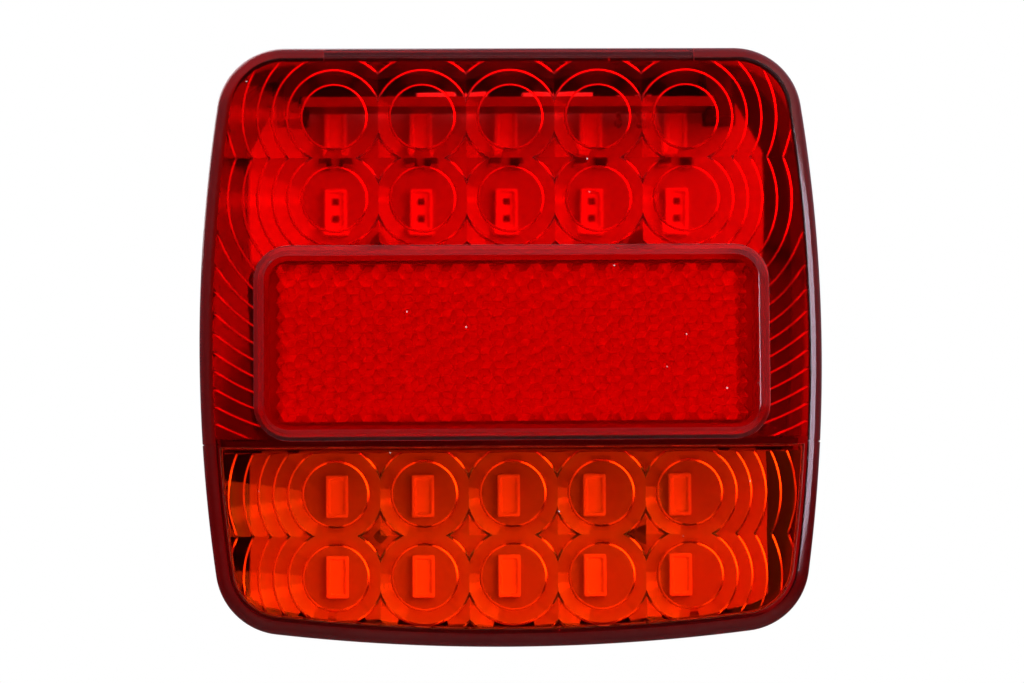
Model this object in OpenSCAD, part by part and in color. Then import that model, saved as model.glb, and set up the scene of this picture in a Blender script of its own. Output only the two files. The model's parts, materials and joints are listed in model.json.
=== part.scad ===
// Square combination rear lamp for a trailer. The red stop and tail window is above, the reflex
// reflector crosses the middle, the amber indicator window is below, and a number plate light
// shines out through the flat top wall. Everything is worked out lying on its back, with X to
// the right, Y up the lamp and Z from the mounting face to the lens, and then stood up.

/* [Outline] */
// Width across the bulged sides at the lens face
lamp_w = 106.7; // [102:0.1:114]
// Height from the flat top to the lowest point of the bottom edge
lamp_h = 102.7; // [100:0.1:108]
// Radius of the bulge of each side
side_bulge_r = 277; // [220:1:500]
// Radius of the bulge of the bottom edge
bottom_bulge_r = 338; // [260:1:600]
// Radius of the four corners
corner_r = 11.7; // [10:0.1:16]
// How much further out each side is at the back than at the lens face
draft = 0.3; // [0.1:0.05:0.6]
// Rounding of the edge of the lens face
edge_r = 2.8; // [1:0.1:2.8]

/* [Depth] */
// From the mounting face to the lens face
lamp_depth = 30; // [29:0.5:36]
// Thickness of the lens skirt
skirt_t = 2.4; // [2.2:0.1:3]
// Thickness of the lens face between the optics and the outside
face_t = 2.2; // [2:0.1:2.6]
// Thickness of the housing at its flange
flange_t = 3; // [2.8:0.1:4]
// Thickness of the housing floor
floor_t = 2.5; // [2.2:0.1:2.7]
// Thickness of the housing wall inside the skirt
wall_t = 2; // [1.5:0.1:2.4]
// How far the housing wall stands up inside the skirt
wall_h = 6.5; // [4:0.1:7]
// Thickness of the seal under the lens skirt
seal_t = 0.8; // [0.5:0.1:1.2]

/* [Fresnel optics] */
// Columns of optics and diodes
columns = 5; // [3:2:5]
// Distance between two columns
col_pitch = 15.1; // [14:0.1:16]
// Distance from the top or bottom of the lamp to the nearest row
row_margin = 11.95; // [11.2:0.05:12.6]
// Distance between two rows of one colour
row_pitch = 14.15; // [13.5:0.05:14.6]
// Radius of the plain lens in the middle of each optic
ring_r = 5.4; // [4.5:0.1:6]
// Width of one ring
ring_pitch = 2.52; // [2:0.01:4]
// Radius of curvature that the rings and the middle lens share
lens_curve_r = 31; // [26:0.5:60]
// Deepest tooth that the mould allows
tooth_max = 0.55; // [0.3:0.05:1.3]

/* [Windows] */
// Width of the red rim round the amber window
rim_w = 3; // [2.8:0.1:4]
// Width of the lap that each insert rests on
lap_w = 1.2; // [0.8:0.1:1.4]
// Depth of the rebate for each insert
rebate_d = 1.2; // [0.8:0.1:1.4]
// Red web between the reflector and the amber window
web_w = 1; // [0.8:0.1:1.4]
// Width of the witness line that runs round the rim beside the web
seam_w = 0.35; // [0.2:0.05:0.6]
// Depth of the witness line
seam_d = 0.25; // [0.15:0.05:0.4]

/* [Reflex reflector] */
// Width of the reflector at its foot
reflex_w = 88.1; // [84:0.1:92]
// From the middle of an inner row of rings to the reflector's nearer edge, were it in the middle
reflex_row_gap = 8.6; // [8.2:0.1:9.6]
// How far its middle lies above the middle of the lamp
reflex_up = 0.5; // [0:0.1:0.8]
// Corner radius at its foot
reflex_corner_r = 6; // [5:0.1:8]
// How far it stands out of the lens face
reflex_rise = 1.5; // [1:0.1:2]
// Width of its sloping edge
reflex_slope = 1.85; // [1:0.05:2.2]
// Distance between opposite flats of one cube corner
cube_pitch = 2.56; // [2.4:0.01:3.4]
// Plain margin between the wall of the reflector and its cube corners
cube_margin = 0.5; // [0.3:0.1:1.5]
// Wall round the cube corners
reflex_wall_t = 1.4; // [1:0.1:1.8]
// Air behind the points of the cube corners
reflex_air = 0.4; // [0.2:0.1:0.8]
// Thickness of the backing plate
backing_t = 1.2; // [1:0.1:1.6]

/* [Number plate light] */
// Length of the clear window in the top wall
plate_window_w = 64; // [56:1:70]
// Gap from the window's flange to the lens face on one side and the housing wall on the other
plate_margin = 1.65; // [1:0.05:2.5]
// Overlap of the window's flange inside the skirt
plate_flange = 1.5; // [1:0.1:1.8]
// Length of the number plate light's circuit board
plate_board_w = 70.6; // [66:0.1:72]
// Gap from that board to the inside of the lens face
plate_front_gap = 3.8; // [3:0.1:5]
// Gap from the front of the main board to that board
plate_board_gap = 1.4; // [1.2:0.1:2]
// From the outside of the top wall down to that board
plate_drop = 8.2; // [7.5:0.1:8.6]

/* [Circuit boards] */
// Thickness of both circuit boards
board_t = 1.6; // [1.2:0.1:2]
// Height of the posts under the main board
post_h = 8.5; // [8:0.1:9.5]
// Gap between the main board and the housing wall at the bottom
board_gap = 0.7; // [0.5:0.1:1.2]
// Gap between the main board and the housing wall at each side
board_side_gap = 5.6; // [4:0.1:6.6]
// Margin of the main board above its top row of diodes
board_top_margin = 0.9; // [0.5:0.1:1.5]
// Width cut off each top corner of the main board
board_cut_w = 4.8; // [3:0.1:6]
// Height cut off each top corner of the main board
board_cut_h = 7.4; // [5:0.1:9]

/* [Components] */
// Length of a light-emitting diode
led_l = 5.7; // [5:0.1:6]
// Width of a light-emitting diode
led_w = 3; // [2.6:0.1:3.4]
// Thickness of a light-emitting diode
led_t = 0.9; // [0.8:0.1:1.2]
// Length of a resistor
resistor_l = 3.2; // [2.8:0.1:3.6]
// Width of a resistor
resistor_w = 1.6; // [1.2:0.1:1.8]
// Distance between the two resistors of a column
resistor_gap = 2.7; // [2.4:0.1:3.4]
// Length of a supply diode
diode_l = 4.3; // [4:0.1:5]
// Width of a supply diode
diode_w = 2.6; // [2.2:0.1:3]
// Side of a square link pin
pin_w = 0.64; // [0.5:0.01:0.7]
// Distance between two link pins
pin_pitch = 2.54; // [2.2:0.01:3]

/* [Fixings] */
// Distance between the two mounting studs
stud_pitch = 45; // [42:0.5:50]
// Diameter of a mounting stud
stud_d = 6; // [5:0.5:6]
// Diameter of a stud's neck inside the housing
neck_d = 7; // [6.5:0.1:7.5]
// Length of a stud beyond the mounting face
stud_l = 18; // [12:0.5:30]
// Distance across the flats of a stud's head
head_flats = 10; // [9:0.5:11]
// Thickness of a stud's head
head_t = 4; // [3:0.1:4.5]
// Outer radius of the boss round each stud
stud_boss_r = 8; // [7.5:0.1:9]
// Diameter of a board screw
screw_d = 2.9; // [2.5:0.1:3]
// Diameter of a board screw's head
screw_head_d = 5.6; // [5:0.1:6]
// Height of a board screw's head
screw_head_h = 2; // [1.6:0.1:2.4]
// Length of a board screw under its head
screw_l = 8; // [6:0.5:9]
// Radius of the post under each board screw
post_r = 3.5; // [3:0.1:4]
// Radius of the bore of the cable grommet
cable_r = 3.2; // [2.5:0.1:3.6]
// Radius of the grommet's hole in the housing
grommet_r = 5; // [4.8:0.1:6]
// How far the grommet lies below the middle of the lamp
grommet_down = 25; // [22:0.5:28]

/* [Back of the housing] */
// Width of the plain border of the mounting face
border_w = 8; // [6:0.5:10]
// Depth of the pockets in the mounting face
pocket_d = 0.9; // [0.5:0.1:1]
// Width of the ribs between the pockets
rib_w = 2; // [1.5:0.1:3]

/* [Hidden] */
$fn = 64;

// Clearances
fit_gap = 0.1;
bond = 0.3;
loose_gap = 0.3;
// Long enough to cut through anything here
through = 200;

// Lips of the grommet: radius outside and inside the housing, and thickness of each
grommet_lip_r = grommet_r + 2;
grommet_lip_t = 1.5;
grommet_inner_r = grommet_r + 1.2;
grommet_inner_t = 2;

// Points on each kind of curve of the outline
corner_steps = 10;
bulge_steps = 8;
edge_steps = 5;

// Colours
red = [0.72, 0.04, 0.04];
amber = [0.93, 0.30, 0.03];
black = [0.08, 0.08, 0.09];
white = [0.93, 0.93, 0.90];
clear = [0.86, 0.90, 0.92];
steel = [0.70, 0.70, 0.72];
dark = [0.15, 0.15, 0.16];

// Heights above the mounting face
seal_top = flange_t + seal_t;
wall_top = flange_t + wall_h;
face_in = lamp_depth - face_t;
rebate_z = lamp_depth - rebate_d;
board_z = floor_t + post_h;
board_top = board_z + board_t;
plate_board_z = board_top + plate_board_gap;
plate_window_z = wall_top + plate_margin + plate_flange;
plate_board_d = face_in - plate_front_gap - plate_board_z;
plate_window_d = face_in - plate_margin - plate_flange - plate_window_z;
stud_web_t = 1.5;
head_grip_h = 2.5;
head_z = floor_t + stud_web_t;
stud_boss_h = head_z + head_grip_h;

// Insets from the outline
skirt_in = skirt_t;
wall_out = skirt_t + fit_gap;
wall_in = wall_out + wall_t;

// Places up the lamp
inner_row = lamp_h / 2 - row_margin - row_pitch;
mid_row = inner_row + row_pitch / 2;
reflex_h = 2 * (inner_row - reflex_row_gap);
reflex_top = reflex_up + reflex_h / 2;
reflex_bottom = reflex_up - reflex_h / 2;
amber_top = reflex_bottom - web_w;
seam_y = reflex_bottom - web_w / 2;
plate_top = lamp_h / 2 - plate_drop;
plate_bottom = plate_top - board_t;
board_up = inner_row + row_pitch + led_l / 2 + board_top_margin;
half_cols = (columns - 1) / 2;

// Centres of the curves of the outline, on the right of the lamp
side_c = [lamp_w / 2 - side_bulge_r, 0];
bottom_c = [0, bottom_bulge_r - lamp_h / 2];
top_corner_y = lamp_h / 2 - corner_r;
top_corner_c = [side_c.x + sqrt(pow(side_bulge_r - corner_r, 2) - pow(top_corner_y, 2)), top_corner_y];
bottom_corner_c = meet(side_c, side_bulge_r - corner_r, bottom_c, bottom_bulge_r - corner_r);

// The lower right point where a circle round a meets a circle round b
function meet(a, ra, b, rb) =
    let (d = norm(b - a), u = (b - a) / d, along = (ra * ra - rb * rb + d * d) / (2 * d))
    a + u * along + [u.y, -u.x] * sqrt(ra * ra - along * along);

function heading(from, to) = atan2(to.y - from.y, to.x - from.x);

// Points of an arc, without its last one
function arc(c, r, from, to, steps) =
    [for (i = [0:steps - 1]) c + r * [for (f = [0, 90]) cos(from + (to - from) * i / steps - f)]];

// The right half of the outline, moved in by inset, from the bottom to the top
function right_half(inset) =
    let (
        low = heading(bottom_c, bottom_corner_c),
        flank_low = heading(side_c, bottom_corner_c),
        flank_high = heading(side_c, top_corner_c)
    )
    concat(
        arc(bottom_c, bottom_bulge_r - inset, -90, low, bulge_steps),
        arc(bottom_corner_c, corner_r - inset, low, flank_low, corner_steps),
        arc(side_c, side_bulge_r - inset, flank_low, flank_high, bulge_steps * 2),
        arc(top_corner_c, corner_r - inset, flank_high, 90, corner_steps),
        [top_corner_c + [0, corner_r - inset]]
    );

// The whole outline, moved in by inset
function outline(inset) =
    let (half = right_half(inset))
    concat(half, [for (i = [len(half) - 1:-1:1]) [-half[i].x, half[i].y]]);

// A rectangle round the origin with rounded corners
function rounded(w, h, r) =
    concat(
        arc([w / 2 - r, h / 2 - r], r, 0, 90, corner_steps), [[w / 2 - r, h / 2]],
        arc([r - w / 2, h / 2 - r], r, 90, 180, corner_steps), [[-w / 2, h / 2 - r]],
        arc([r - w / 2, r - h / 2], r, 180, 270, corner_steps), [[r - w / 2, -h / 2]],
        arc([w / 2 - r, r - h / 2], r, 270, 360, corner_steps), [[w / 2, r - h / 2]]
    );

// The reflector's outline, moved in by inset
function reflex_outline(inset) =
    [for (p = rounded(reflex_w - 2 * inset, reflex_h - 2 * inset, reflex_corner_r - inset))
        p + [0, reflex_up]];

// Radii and teeth of the rings
function ring_at(k) = ring_r + ring_pitch * k;
function tooth(k) =
    min(tooth_max, (pow(ring_at(k + 1), 2) - pow(ring_at(k), 2)) / (2 * lens_curve_r));

// Place of a diode: 1 to columns in the inner row and the rest in the outer row
function led_x(i) = ((i - 1) % columns - half_cols) * col_pitch;
function led_y(i) = inner_row + floor((i - 1) / columns) * row_pitch;
plate_led_x = [-13, -6, 5, 12];
plate_led_z = plate_window_z + plate_window_d / 2;
plate_resistor_x = -18.5;
screw_x = col_pitch * 3 / 2;
screw_drop = 5.65;
screw_ys = [inner_row - screw_drop, -mid_row];
peg_x = col_pitch * 5 / 2;

// Turns what lies on its back up onto its lower edge, with the lens towards -Y
module stand() {
    rotate([90, 0, 0]) children();
}

// A closed solid through outlines of equal length, each given as [points, z]
module loft(rings) {
    n = len(rings[0][0]);
    last = len(rings) - 1;
    polyhedron(
        [for (r = rings) for (p = r[0]) [p.x, p.y, r[1]]],
        concat(
            [[for (j = [0:n - 1]) j]],
            [[for (j = [n - 1:-1:0]) last * n + j]],
            [for (i = [0:last - 1]) for (j = [0:n - 1])
                [i * n + j, (i + 1) * n + j, (i + 1) * n + (j + 1) % n, i * n + (j + 1) % n]]
        )
    );
}

// A prism of the lamp's outline
module slab(inset, from, to) {
    translate([0, 0, from]) linear_extrude(to - from) polygon(outline(inset));
}

// A prism of the reflector's outline
module reflex_slab(inset, from, to) {
    translate([0, 0, from]) linear_extrude(to - from) polygon(reflex_outline(inset));
}

// The outside of the lens, moved in by inset, with its rounded edge
module lens_outside(inset) {
    loft(concat(
        [[outline(inset - draft), seal_top]],
        [for (i = [0:edge_steps]) let (a = 90 * i / edge_steps)
            [outline(inset + edge_r * (1 - cos(a))), lamp_depth - inset - edge_r * (1 - sin(a))]]
    ));
}

// The space inside the lens
module lens_inside() {
    loft([
        [outline(skirt_in - draft), seal_top - bond],
        [outline(skirt_in), face_in]
    ]);
}

// One optic: a plain lens with rings round it that step back like saw teeth
module optic(reach) {
    rings = ceil((reach - ring_r) / ring_pitch);
    sag = lens_curve_r - sqrt(pow(lens_curve_r, 2) - pow(ring_r, 2));
    rotate_extrude() polygon(concat(
        [[0, bond], [0, 0], [ring_r, 0]],
        [for (k = [0:rings - 1]) each [[ring_at(k), -tooth(k)], [ring_at(k + 1), 0]]],
        [[ring_at(rings), bond]]
    ));
    intersection() {
        translate([0, 0, lens_curve_r - sag]) sphere(lens_curve_r);
        translate([0, 0, -through]) cylinder(r = ring_r, h = through + bond / 2);
    }
}

// Optics over every diode of one colour, cut at the lines midway between them. side is 1 above
// the middle and -1 below, start is where the inner row begins in the middle columns, outer_start
// where it begins in the two outer ones, and the child is the outline that holds them all.
module optics(side, start, outer_start) {
    for (col = [-half_cols:half_cols]) {
        outer = abs(col) == half_cols;
        x0 = col == -half_cols ? -lamp_w / 2 : (col - 0.5) * col_pitch;
        x1 = col == half_cols ? lamp_w / 2 : (col + 0.5) * col_pitch;
        for (row = [0, 1]) {
            y0 = row == 0 ? (outer ? outer_start : start) : mid_row;
            y1 = row == 0 ? mid_row : lamp_h / 2;
            cx = col * col_pitch;
            cy = inner_row + row * row_pitch;
            reach = norm([max(cx - x0, x1 - cx), max(cy - y0, y1 - cy)]);
            translate([0, 0, face_in]) intersection() {
                translate([cx, side * cy, 0]) optic(reach);
                translate([0, 0, -tooth_max - bond]) linear_extrude(through) intersection() {
                    children();
                    translate([x0, side > 0 ? y0 : -y1]) square([x1 - x0, y1 - y0]);
                }
            }
        }
    }
}

// Outline of the amber window, moved in by inset
module amber_area(inset) {
    intersection() {
        polygon(outline(rim_w + inset));
        translate([-through / 2, amber_top - inset - through]) square(through);
    }
}

// The black base with its posts, bosses and the guides of the number plate light's board
module housing() {
    color(black) stand() difference() {
        union() {
            difference() {
                union() {
                    slab(-draft, 0, flange_t);
                    slab(wall_out, 0, wall_top);
                }
                slab(wall_in, floor_t, through);
            }
            for (x = [-screw_x, screw_x]) for (y = screw_ys) {
                translate([x, y, 0]) cylinder(r = post_r, h = board_z);
            }
            for (x = [-1, 1]) {
                translate([x * stud_pitch / 2, 0, 0]) cylinder(r = stud_boss_r, h = stud_boss_h);
                plate_guide(x);
            }
            base_ribs();
        }
        for (x = [-screw_x, screw_x]) for (y = screw_ys) {
            translate([x, y, board_top - screw_l - loose_gap]) cylinder(d = screw_d + fit_gap, h = through);
        }
        for (x = [-1, 1]) translate([x * stud_pitch / 2, 0, 0]) {
            translate([0, 0, -1]) cylinder(d = neck_d + fit_gap, h = through);
            translate([0, 0, head_z]) cylinder(d = (head_flats + fit_gap) / cos(30), h = through, $fn = 6);
        }
        translate([0, -grommet_down, -1]) cylinder(r = grommet_r, h = floor_t + 2);
        translate([0, -grommet_down, floor_t]) cylinder(r = grommet_inner_r + loose_gap, h = through);
        back_pockets();
    }
}

// Size of the two guides of the number plate light's board
guide_w = 4;
guide_depth = 1.2;
guide_cheek = 1.2;
guide_reach = 0.7;
guide_low = plate_bottom - fit_gap - guide_cheek;
guide_x = plate_board_w / 2 - guide_depth;

// A slotted guide that holds one end of the number plate light's board
module plate_guide(side) {
    height = plate_board_z + plate_board_d * guide_reach;
    slot_w = guide_depth + fit_gap;
    x0 = side > 0 ? guide_x : -guide_x - guide_w;
    difference() {
        translate([x0, guide_low, 0])
            cube([guide_w, lamp_h / 2 - wall_in - guide_low + bond, height]);
        translate([side > 0 ? x0 - 1 : x0 + guide_w - slot_w, plate_bottom - fit_gap, plate_board_z])
            cube([slot_w + 1, board_t + 2 * fit_gap, through]);
    }
}

// Stiffening ribs on the inside of the housing floor
module base_ribs() {
    rib_h = 3;
    rib_t = 1.4;
    for (y = screw_ys) {
        translate([-screw_x, y - rib_t / 2, 0]) cube([2 * screw_x, rib_t, floor_t + rib_h]);
    }
    for (x = [-screw_x, screw_x]) {
        translate([x - rib_t / 2, screw_ys[1], 0])
            cube([rib_t, screw_ys[0] - screw_ys[1], floor_t + rib_h]);
    }
}

// Shallow pockets in the mounting face, with ribs and pads left between them
module back_pockets() {
    difference() {
        slab(border_w, -1, pocket_d);
        for (x = [-stud_pitch / 2, 0, stud_pitch / 2]) {
            translate([x - rib_w / 2, -through / 2, -2]) cube([rib_w, through, 4]);
        }
        for (y = [-grommet_down, 0, grommet_down]) {
            translate([-through / 2, y - rib_w / 2, -2]) cube([through, rib_w, 4]);
        }
        for (x = [-1, 1]) {
            translate([x * stud_pitch / 2, 0, -2]) cylinder(r = stud_boss_r + 1, h = 4);
        }
        translate([0, -grommet_down, -2]) cylinder(r = grommet_lip_r + 2, h = 4);
    }
}

// The bead of sealant between the housing flange and the lens skirt
module lens_seal() {
    color(dark) stand() difference() {
        slab(loose_gap - draft, flange_t, seal_top);
        slab(skirt_in - draft - loose_gap, flange_t - 1, seal_top + 1);
    }
}

// The red moulding: skirt, rim, red window and the frame of both inserts
module lens_red() {
    color(red) stand() difference() {
        union() {
            difference() {
                lens_outside(0);
                lens_inside();
            }
            difference() {
                optics(1, reflex_top - lap_w, reflex_bottom + lap_w) polygon(outline(skirt_in - fit_gap));
                reflex_slab(lap_w - bond, -through, through);
            }
        }
        reflex_slab(lap_w - fit_gap, 0, through);
        reflex_slab(-fit_gap, rebate_z, through);
        translate([0, 0, seal_top + 1]) linear_extrude(through) amber_area(lap_w - fit_gap);
        translate([0, 0, rebate_z]) linear_extrude(through) amber_area(-fit_gap);
        plate_opening(0);
        difference() {
            translate([-lamp_w, seam_y - seam_w / 2, 0]) cube([2 * lamp_w, seam_w, through]);
            lens_outside(seam_d);
        }
    }
}

// The opening for the clear window, smaller by gap on each side
module plate_opening(gap) {
    translate([gap - plate_window_w / 2, lamp_h / 2 - skirt_in - bond, plate_window_z + gap])
        cube([plate_window_w - 2 * gap, through, plate_window_d - 2 * gap]);
}

// The amber insert with its optics
module lens_amber() {
    color(amber) stand() {
        translate([0, 0, rebate_z]) linear_extrude(rebate_d) amber_area(0);
        translate([0, 0, face_in]) linear_extrude(rebate_z - face_in + bond) amber_area(lap_w);
        optics(-1, -amber_top + lap_w, -amber_top + lap_w) amber_area(lap_w);
    }
}

// The red reflector insert: a raised plate with cube corners on its back and a wall round them
module reflex_panel() {
    color(red) stand() {
        loft([
            [reflex_outline(0), lamp_depth],
            [reflex_outline(reflex_slope - bond), lamp_depth + reflex_rise - bond / 2],
            [reflex_outline(reflex_slope), lamp_depth + reflex_rise]
        ]);
        reflex_slab(0, rebate_z, lamp_depth);
        difference() {
            reflex_slab(lap_w, backing_z + backing_t, rebate_z + bond);
            reflex_slab(lap_w + reflex_wall_t, -through, rebate_z);
        }
        cube_corners();
    }
}

// Cube corners: the half diagonal of one square face seen from the front is cube_r, and a cube's
// space diagonal is cube_diagonal. A point of the triangular grid lies 0, 1 or 2 thirds of it up.
cube_r = cube_pitch / sqrt(3);
cube_diagonal = cube_r * sqrt(1.5) * sqrt(3);
cube_depth = cube_diagonal * 2 / 3;
backing_z = rebate_z - bond - cube_depth - reflex_air - backing_t;

// A slab with a flat face upwards and a field of cube corners below
module cube_corners() {
    field_w = reflex_w - 2 * (lap_w + reflex_wall_t + cube_margin) - cube_r;
    field_h = reflex_h - 2 * (lap_w + reflex_wall_t + cube_margin);
    across = floor(field_w / cube_r);
    up = floor(field_h / (cube_pitch / 2));
    row = across + 1;
    total = row * (up + 1);
    left = -(across + 0.5) * cube_r / 2;
    bottom = reflex_up - up * cube_pitch / 4;
    grid = [for (j = [0:up]) for (i = [0:across]) [left + (i + (j % 2) / 2) * cube_r, bottom + j * cube_pitch / 2]];
    third = [for (j = [0:up]) for (i = [0:across]) (i - floor(j / 2) + 2 * j) % 3];
    edge = concat(
        [for (i = [0:across - 1]) i],
        [for (j = [0:up - 1]) j * row + across],
        [for (i = [across:-1:1]) up * row + i],
        [for (j = [up:-1:1]) j * row]
    );
    n = len(edge);
    top = rebate_z + bond;
    tip = rebate_z - bond - cube_depth;
    polyhedron(
        concat(
            [for (k = [0:total - 1]) [grid[k].x, grid[k].y, tip + third[k] * cube_diagonal / 3]],
            [for (k = edge) [grid[k].x, grid[k].y, top]]
        ),
        concat(
            [for (j = [0:up - 1]) for (i = [0:across - 1]) each
                let (a = j * row + i, b = a + 1, c = a + row, d = c + 1)
                j % 2 == 0 ? [[a, b, c], [b, d, c]] : [[a, b, d], [a, d, c]]],
            [for (k = [0:n - 1])
                let (m = (k + 1) % n)
                [edge[k], total + k, total + m, edge[m]]],
            [[for (k = [n - 1:-1:0]) total + k]]
        )
    );
}

// The plate welded behind the cube corners
module reflex_backing() {
    color(white) stand() reflex_slab(lap_w, backing_z, backing_z + backing_t);
}

// The clear window of the number plate light
module plate_window() {
    inner = lamp_h / 2 - skirt_in - loose_gap;
    color(clear) stand() {
        intersection() {
            plate_opening(fit_gap);
            translate([-lamp_w / 2, 0, 0]) cube([lamp_w, lamp_h / 2 - fit_gap, lamp_depth]);
        }
        translate([-plate_window_w / 2 - plate_flange, inner - 1, plate_window_z - plate_flange])
            cube([plate_window_w + 2 * plate_flange, 1, plate_window_d + 2 * plate_flange]);
    }
}

// Where the link pins go through both boards
pin_drop = 1.2;
pin_y = plate_bottom - pin_drop;
pin_z = plate_board_z + pin_drop;
pins = 4;
pin_xs = [for (i = [0:pins - 1]) screw_x + (i - (pins - 1) / 2) * pin_pitch];
pin_hole_r = pin_w / sqrt(2) + fit_gap;
peg_r = 1.2;

// The white main board
module main_board() {
    half = lamp_w / 2 - wall_in - board_side_gap;
    color(white) stand() difference() {
        translate([0, 0, board_z]) linear_extrude(board_t) intersection() {
            polygon(outline(wall_in + board_gap));
            polygon([
                [-half, -lamp_h], [half, -lamp_h], [half, board_up - board_cut_h],
                [half - board_cut_w, board_up], [board_cut_w - half, board_up],
                [-half, board_up - board_cut_h]
            ]);
        }
        for (x = [-screw_x, screw_x]) for (y = screw_ys) {
            translate([x, y, 0]) cylinder(d = screw_d + 2 * loose_gap, h = through);
        }
        for (x = [-peg_x, peg_x]) translate([x, seam_y, 0]) cylinder(r = peg_r + fit_gap, h = through);
        for (x = pin_xs) translate([x, pin_y, 0]) cylinder(r = pin_hole_r, h = through);
        for (x = [guide_x - loose_gap, -guide_x - guide_w - loose_gap]) {
            translate([x, guide_low - loose_gap, 0]) cube([guide_w + 2 * loose_gap, through, through]);
        }
    }
}

// The number plate light's board, on edge in front of the main board's top
module plate_board() {
    color(white) stand() difference() {
        translate([fit_gap - plate_board_w / 2, plate_bottom, plate_board_z])
            cube([plate_board_w - 2 * fit_gap, board_t, plate_board_d]);
        for (x = pin_xs) {
            translate([x, plate_top + 1, pin_z]) rotate([90, 0, 0]) cylinder(r = pin_hole_r, h = board_t + 2);
        }
    }
}

// The black strip that keeps red light out of the amber window
module light_divider() {
    thick = 1.2;
    half = lamp_w / 2 - skirt_in - 2;
    color(black) stand() {
        translate([-half, seam_y - thick / 2, board_top])
            cube([2 * half, thick, face_in - loose_gap - board_top]);
        for (x = [-peg_x, peg_x]) {
            translate([x, seam_y, board_z - loose_gap]) cylinder(r = peg_r, h = board_t + 1);
        }
    }
}

// The rubber grommet in the back, through which the cable comes in
module cable_grommet() {
    neck = grommet_r - fit_gap;
    color(dark) stand() translate([0, -grommet_down, 0]) rotate_extrude() polygon([
        [cable_r, -grommet_lip_t], [grommet_lip_r - 0.5, -grommet_lip_t], [grommet_lip_r, -1],
        [grommet_lip_r, 0], [neck, 0], [neck, floor_t], [grommet_inner_r, floor_t],
        [neck, floor_t + grommet_inner_t], [cable_r, floor_t + grommet_inner_t]
    ]);
}

// Two studs whose heads sit in the bosses of the housing
module mounting_studs() {
    thread_end = 0.8;
    color(steel) stand() for (x = [-1, 1]) translate([x * stud_pitch / 2, 0, 0]) {
        translate([0, 0, head_z]) cylinder(d = head_flats / cos(30), h = head_t, $fn = 6);
        cylinder(d = neck_d, h = head_z + bond);
        translate([0, 0, thread_end - stud_l]) cylinder(d = stud_d, h = stud_l - thread_end + bond);
        translate([0, 0, -stud_l]) cylinder(d1 = stud_d - thread_end, d2 = stud_d, h = thread_end);
    }
}

// Four pan-head screws that hold the main board on its posts
module board_screws() {
    slot = 0.7;
    color(steel) stand() for (x = [-screw_x, screw_x]) for (y = screw_ys) translate([x, y, board_top]) {
        translate([0, 0, -screw_l]) cylinder(d = screw_d, h = screw_l + bond);
        difference() {
            cylinder(d = screw_head_d, h = screw_head_h);
            for (a = [0, 90]) rotate(a) {
                translate([-screw_head_d / 3, -slot / 2, screw_head_h / 2])
                    cube([screw_head_d * 2 / 3, slot, screw_head_h]);
            }
        }
    }
}

// Bent pins that join the number plate light's board to the main board
module link_pins() {
    tail = 0.8;
    color(steel) stand() for (x = pin_xs) {
        translate([x - pin_w / 2, pin_y - pin_w / 2, board_z - tail])
            cube([pin_w, pin_w, pin_z + pin_w / 2 - board_z + tail]);
        translate([x - pin_w / 2, pin_y - pin_w / 2, pin_z - pin_w / 2])
            cube([pin_w, plate_top + tail - pin_y + pin_w / 2, pin_w]);
    }
}

// Three supply diodes behind the reflector
module supply_diodes() {
    diode_h = 2.2;
    lead = 0.6;
    color(dark) stand() for (i = [-1, 0, 1]) translate([i * diode_l * 2, 0, board_top]) {
        translate([-diode_l / 2, -diode_w / 2, 0]) cube([diode_l, diode_w, diode_h]);
        translate([-diode_l / 2 - lead, -diode_w / 4, 0]) cube([diode_l + 2 * lead, diode_w / 2, lead / 2]);
    }
}

// One chip resistor lying along Y on z = 0, with its two end caps
module resistor() {
    body_t = 0.5;
    cap_l = 0.45;
    cap_extra = 0.05;
    translate([-resistor_w / 2, -resistor_l / 2, 0]) cube([resistor_w, resistor_l, body_t]);
    for (y = [-resistor_l / 2, resistor_l / 2 - cap_l]) {
        translate([-resistor_w / 2 - cap_extra, y, 0])
            cube([resistor_w + 2 * cap_extra, cap_l, body_t + cap_extra]);
    }
}

// Two resistors for each column, between its two diodes
module resistor_row(side) {
    for (col = [-half_cols:half_cols]) for (x = [-1, 1]) {
        translate([col * col_pitch + x * resistor_gap / 2, side * mid_row, board_top]) resistor();
    }
}

module resistors_red() {
    color(dark) stand() resistor_row(1);
}

module resistors_amber() {
    color(dark) stand() resistor_row(-1);
}

module resistor_plate() {
    color(dark) stand() translate([plate_resistor_x, plate_top, plate_led_z]) rotate([-90, 90, 0]) resistor();
}

// One light-emitting diode lying along Y on z = 0: a cup with two chips on its floor
module led() {
    wall = 0.35;
    depth = 0.4;
    chip = 0.9;
    difference() {
        translate([-led_w / 2, -led_l / 2, 0]) cube([led_w, led_l, led_t]);
        translate([wall - led_w / 2, wall - led_l / 2, led_t - depth])
            cube([led_w - 2 * wall, led_l - 2 * wall, led_t]);
    }
    for (y = [-led_l / 5, led_l / 5]) {
        translate([-chip / 2, y - chip / 2, led_t / 3]) cube([chip, chip, led_t / 3]);
    }
}

module led_red(i) {
    color(white) stand() translate([led_x(i), led_y(i), board_top]) led();
}

module led_amber(i) {
    color(white) stand() translate([led_x(i), -led_y(i), board_top]) led();
}

module led_plate(i) {
    color(white) stand()
        translate([plate_led_x[i - 1], plate_top, plate_led_z])
        rotate([-90, 90, 0]) led();
}

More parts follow.
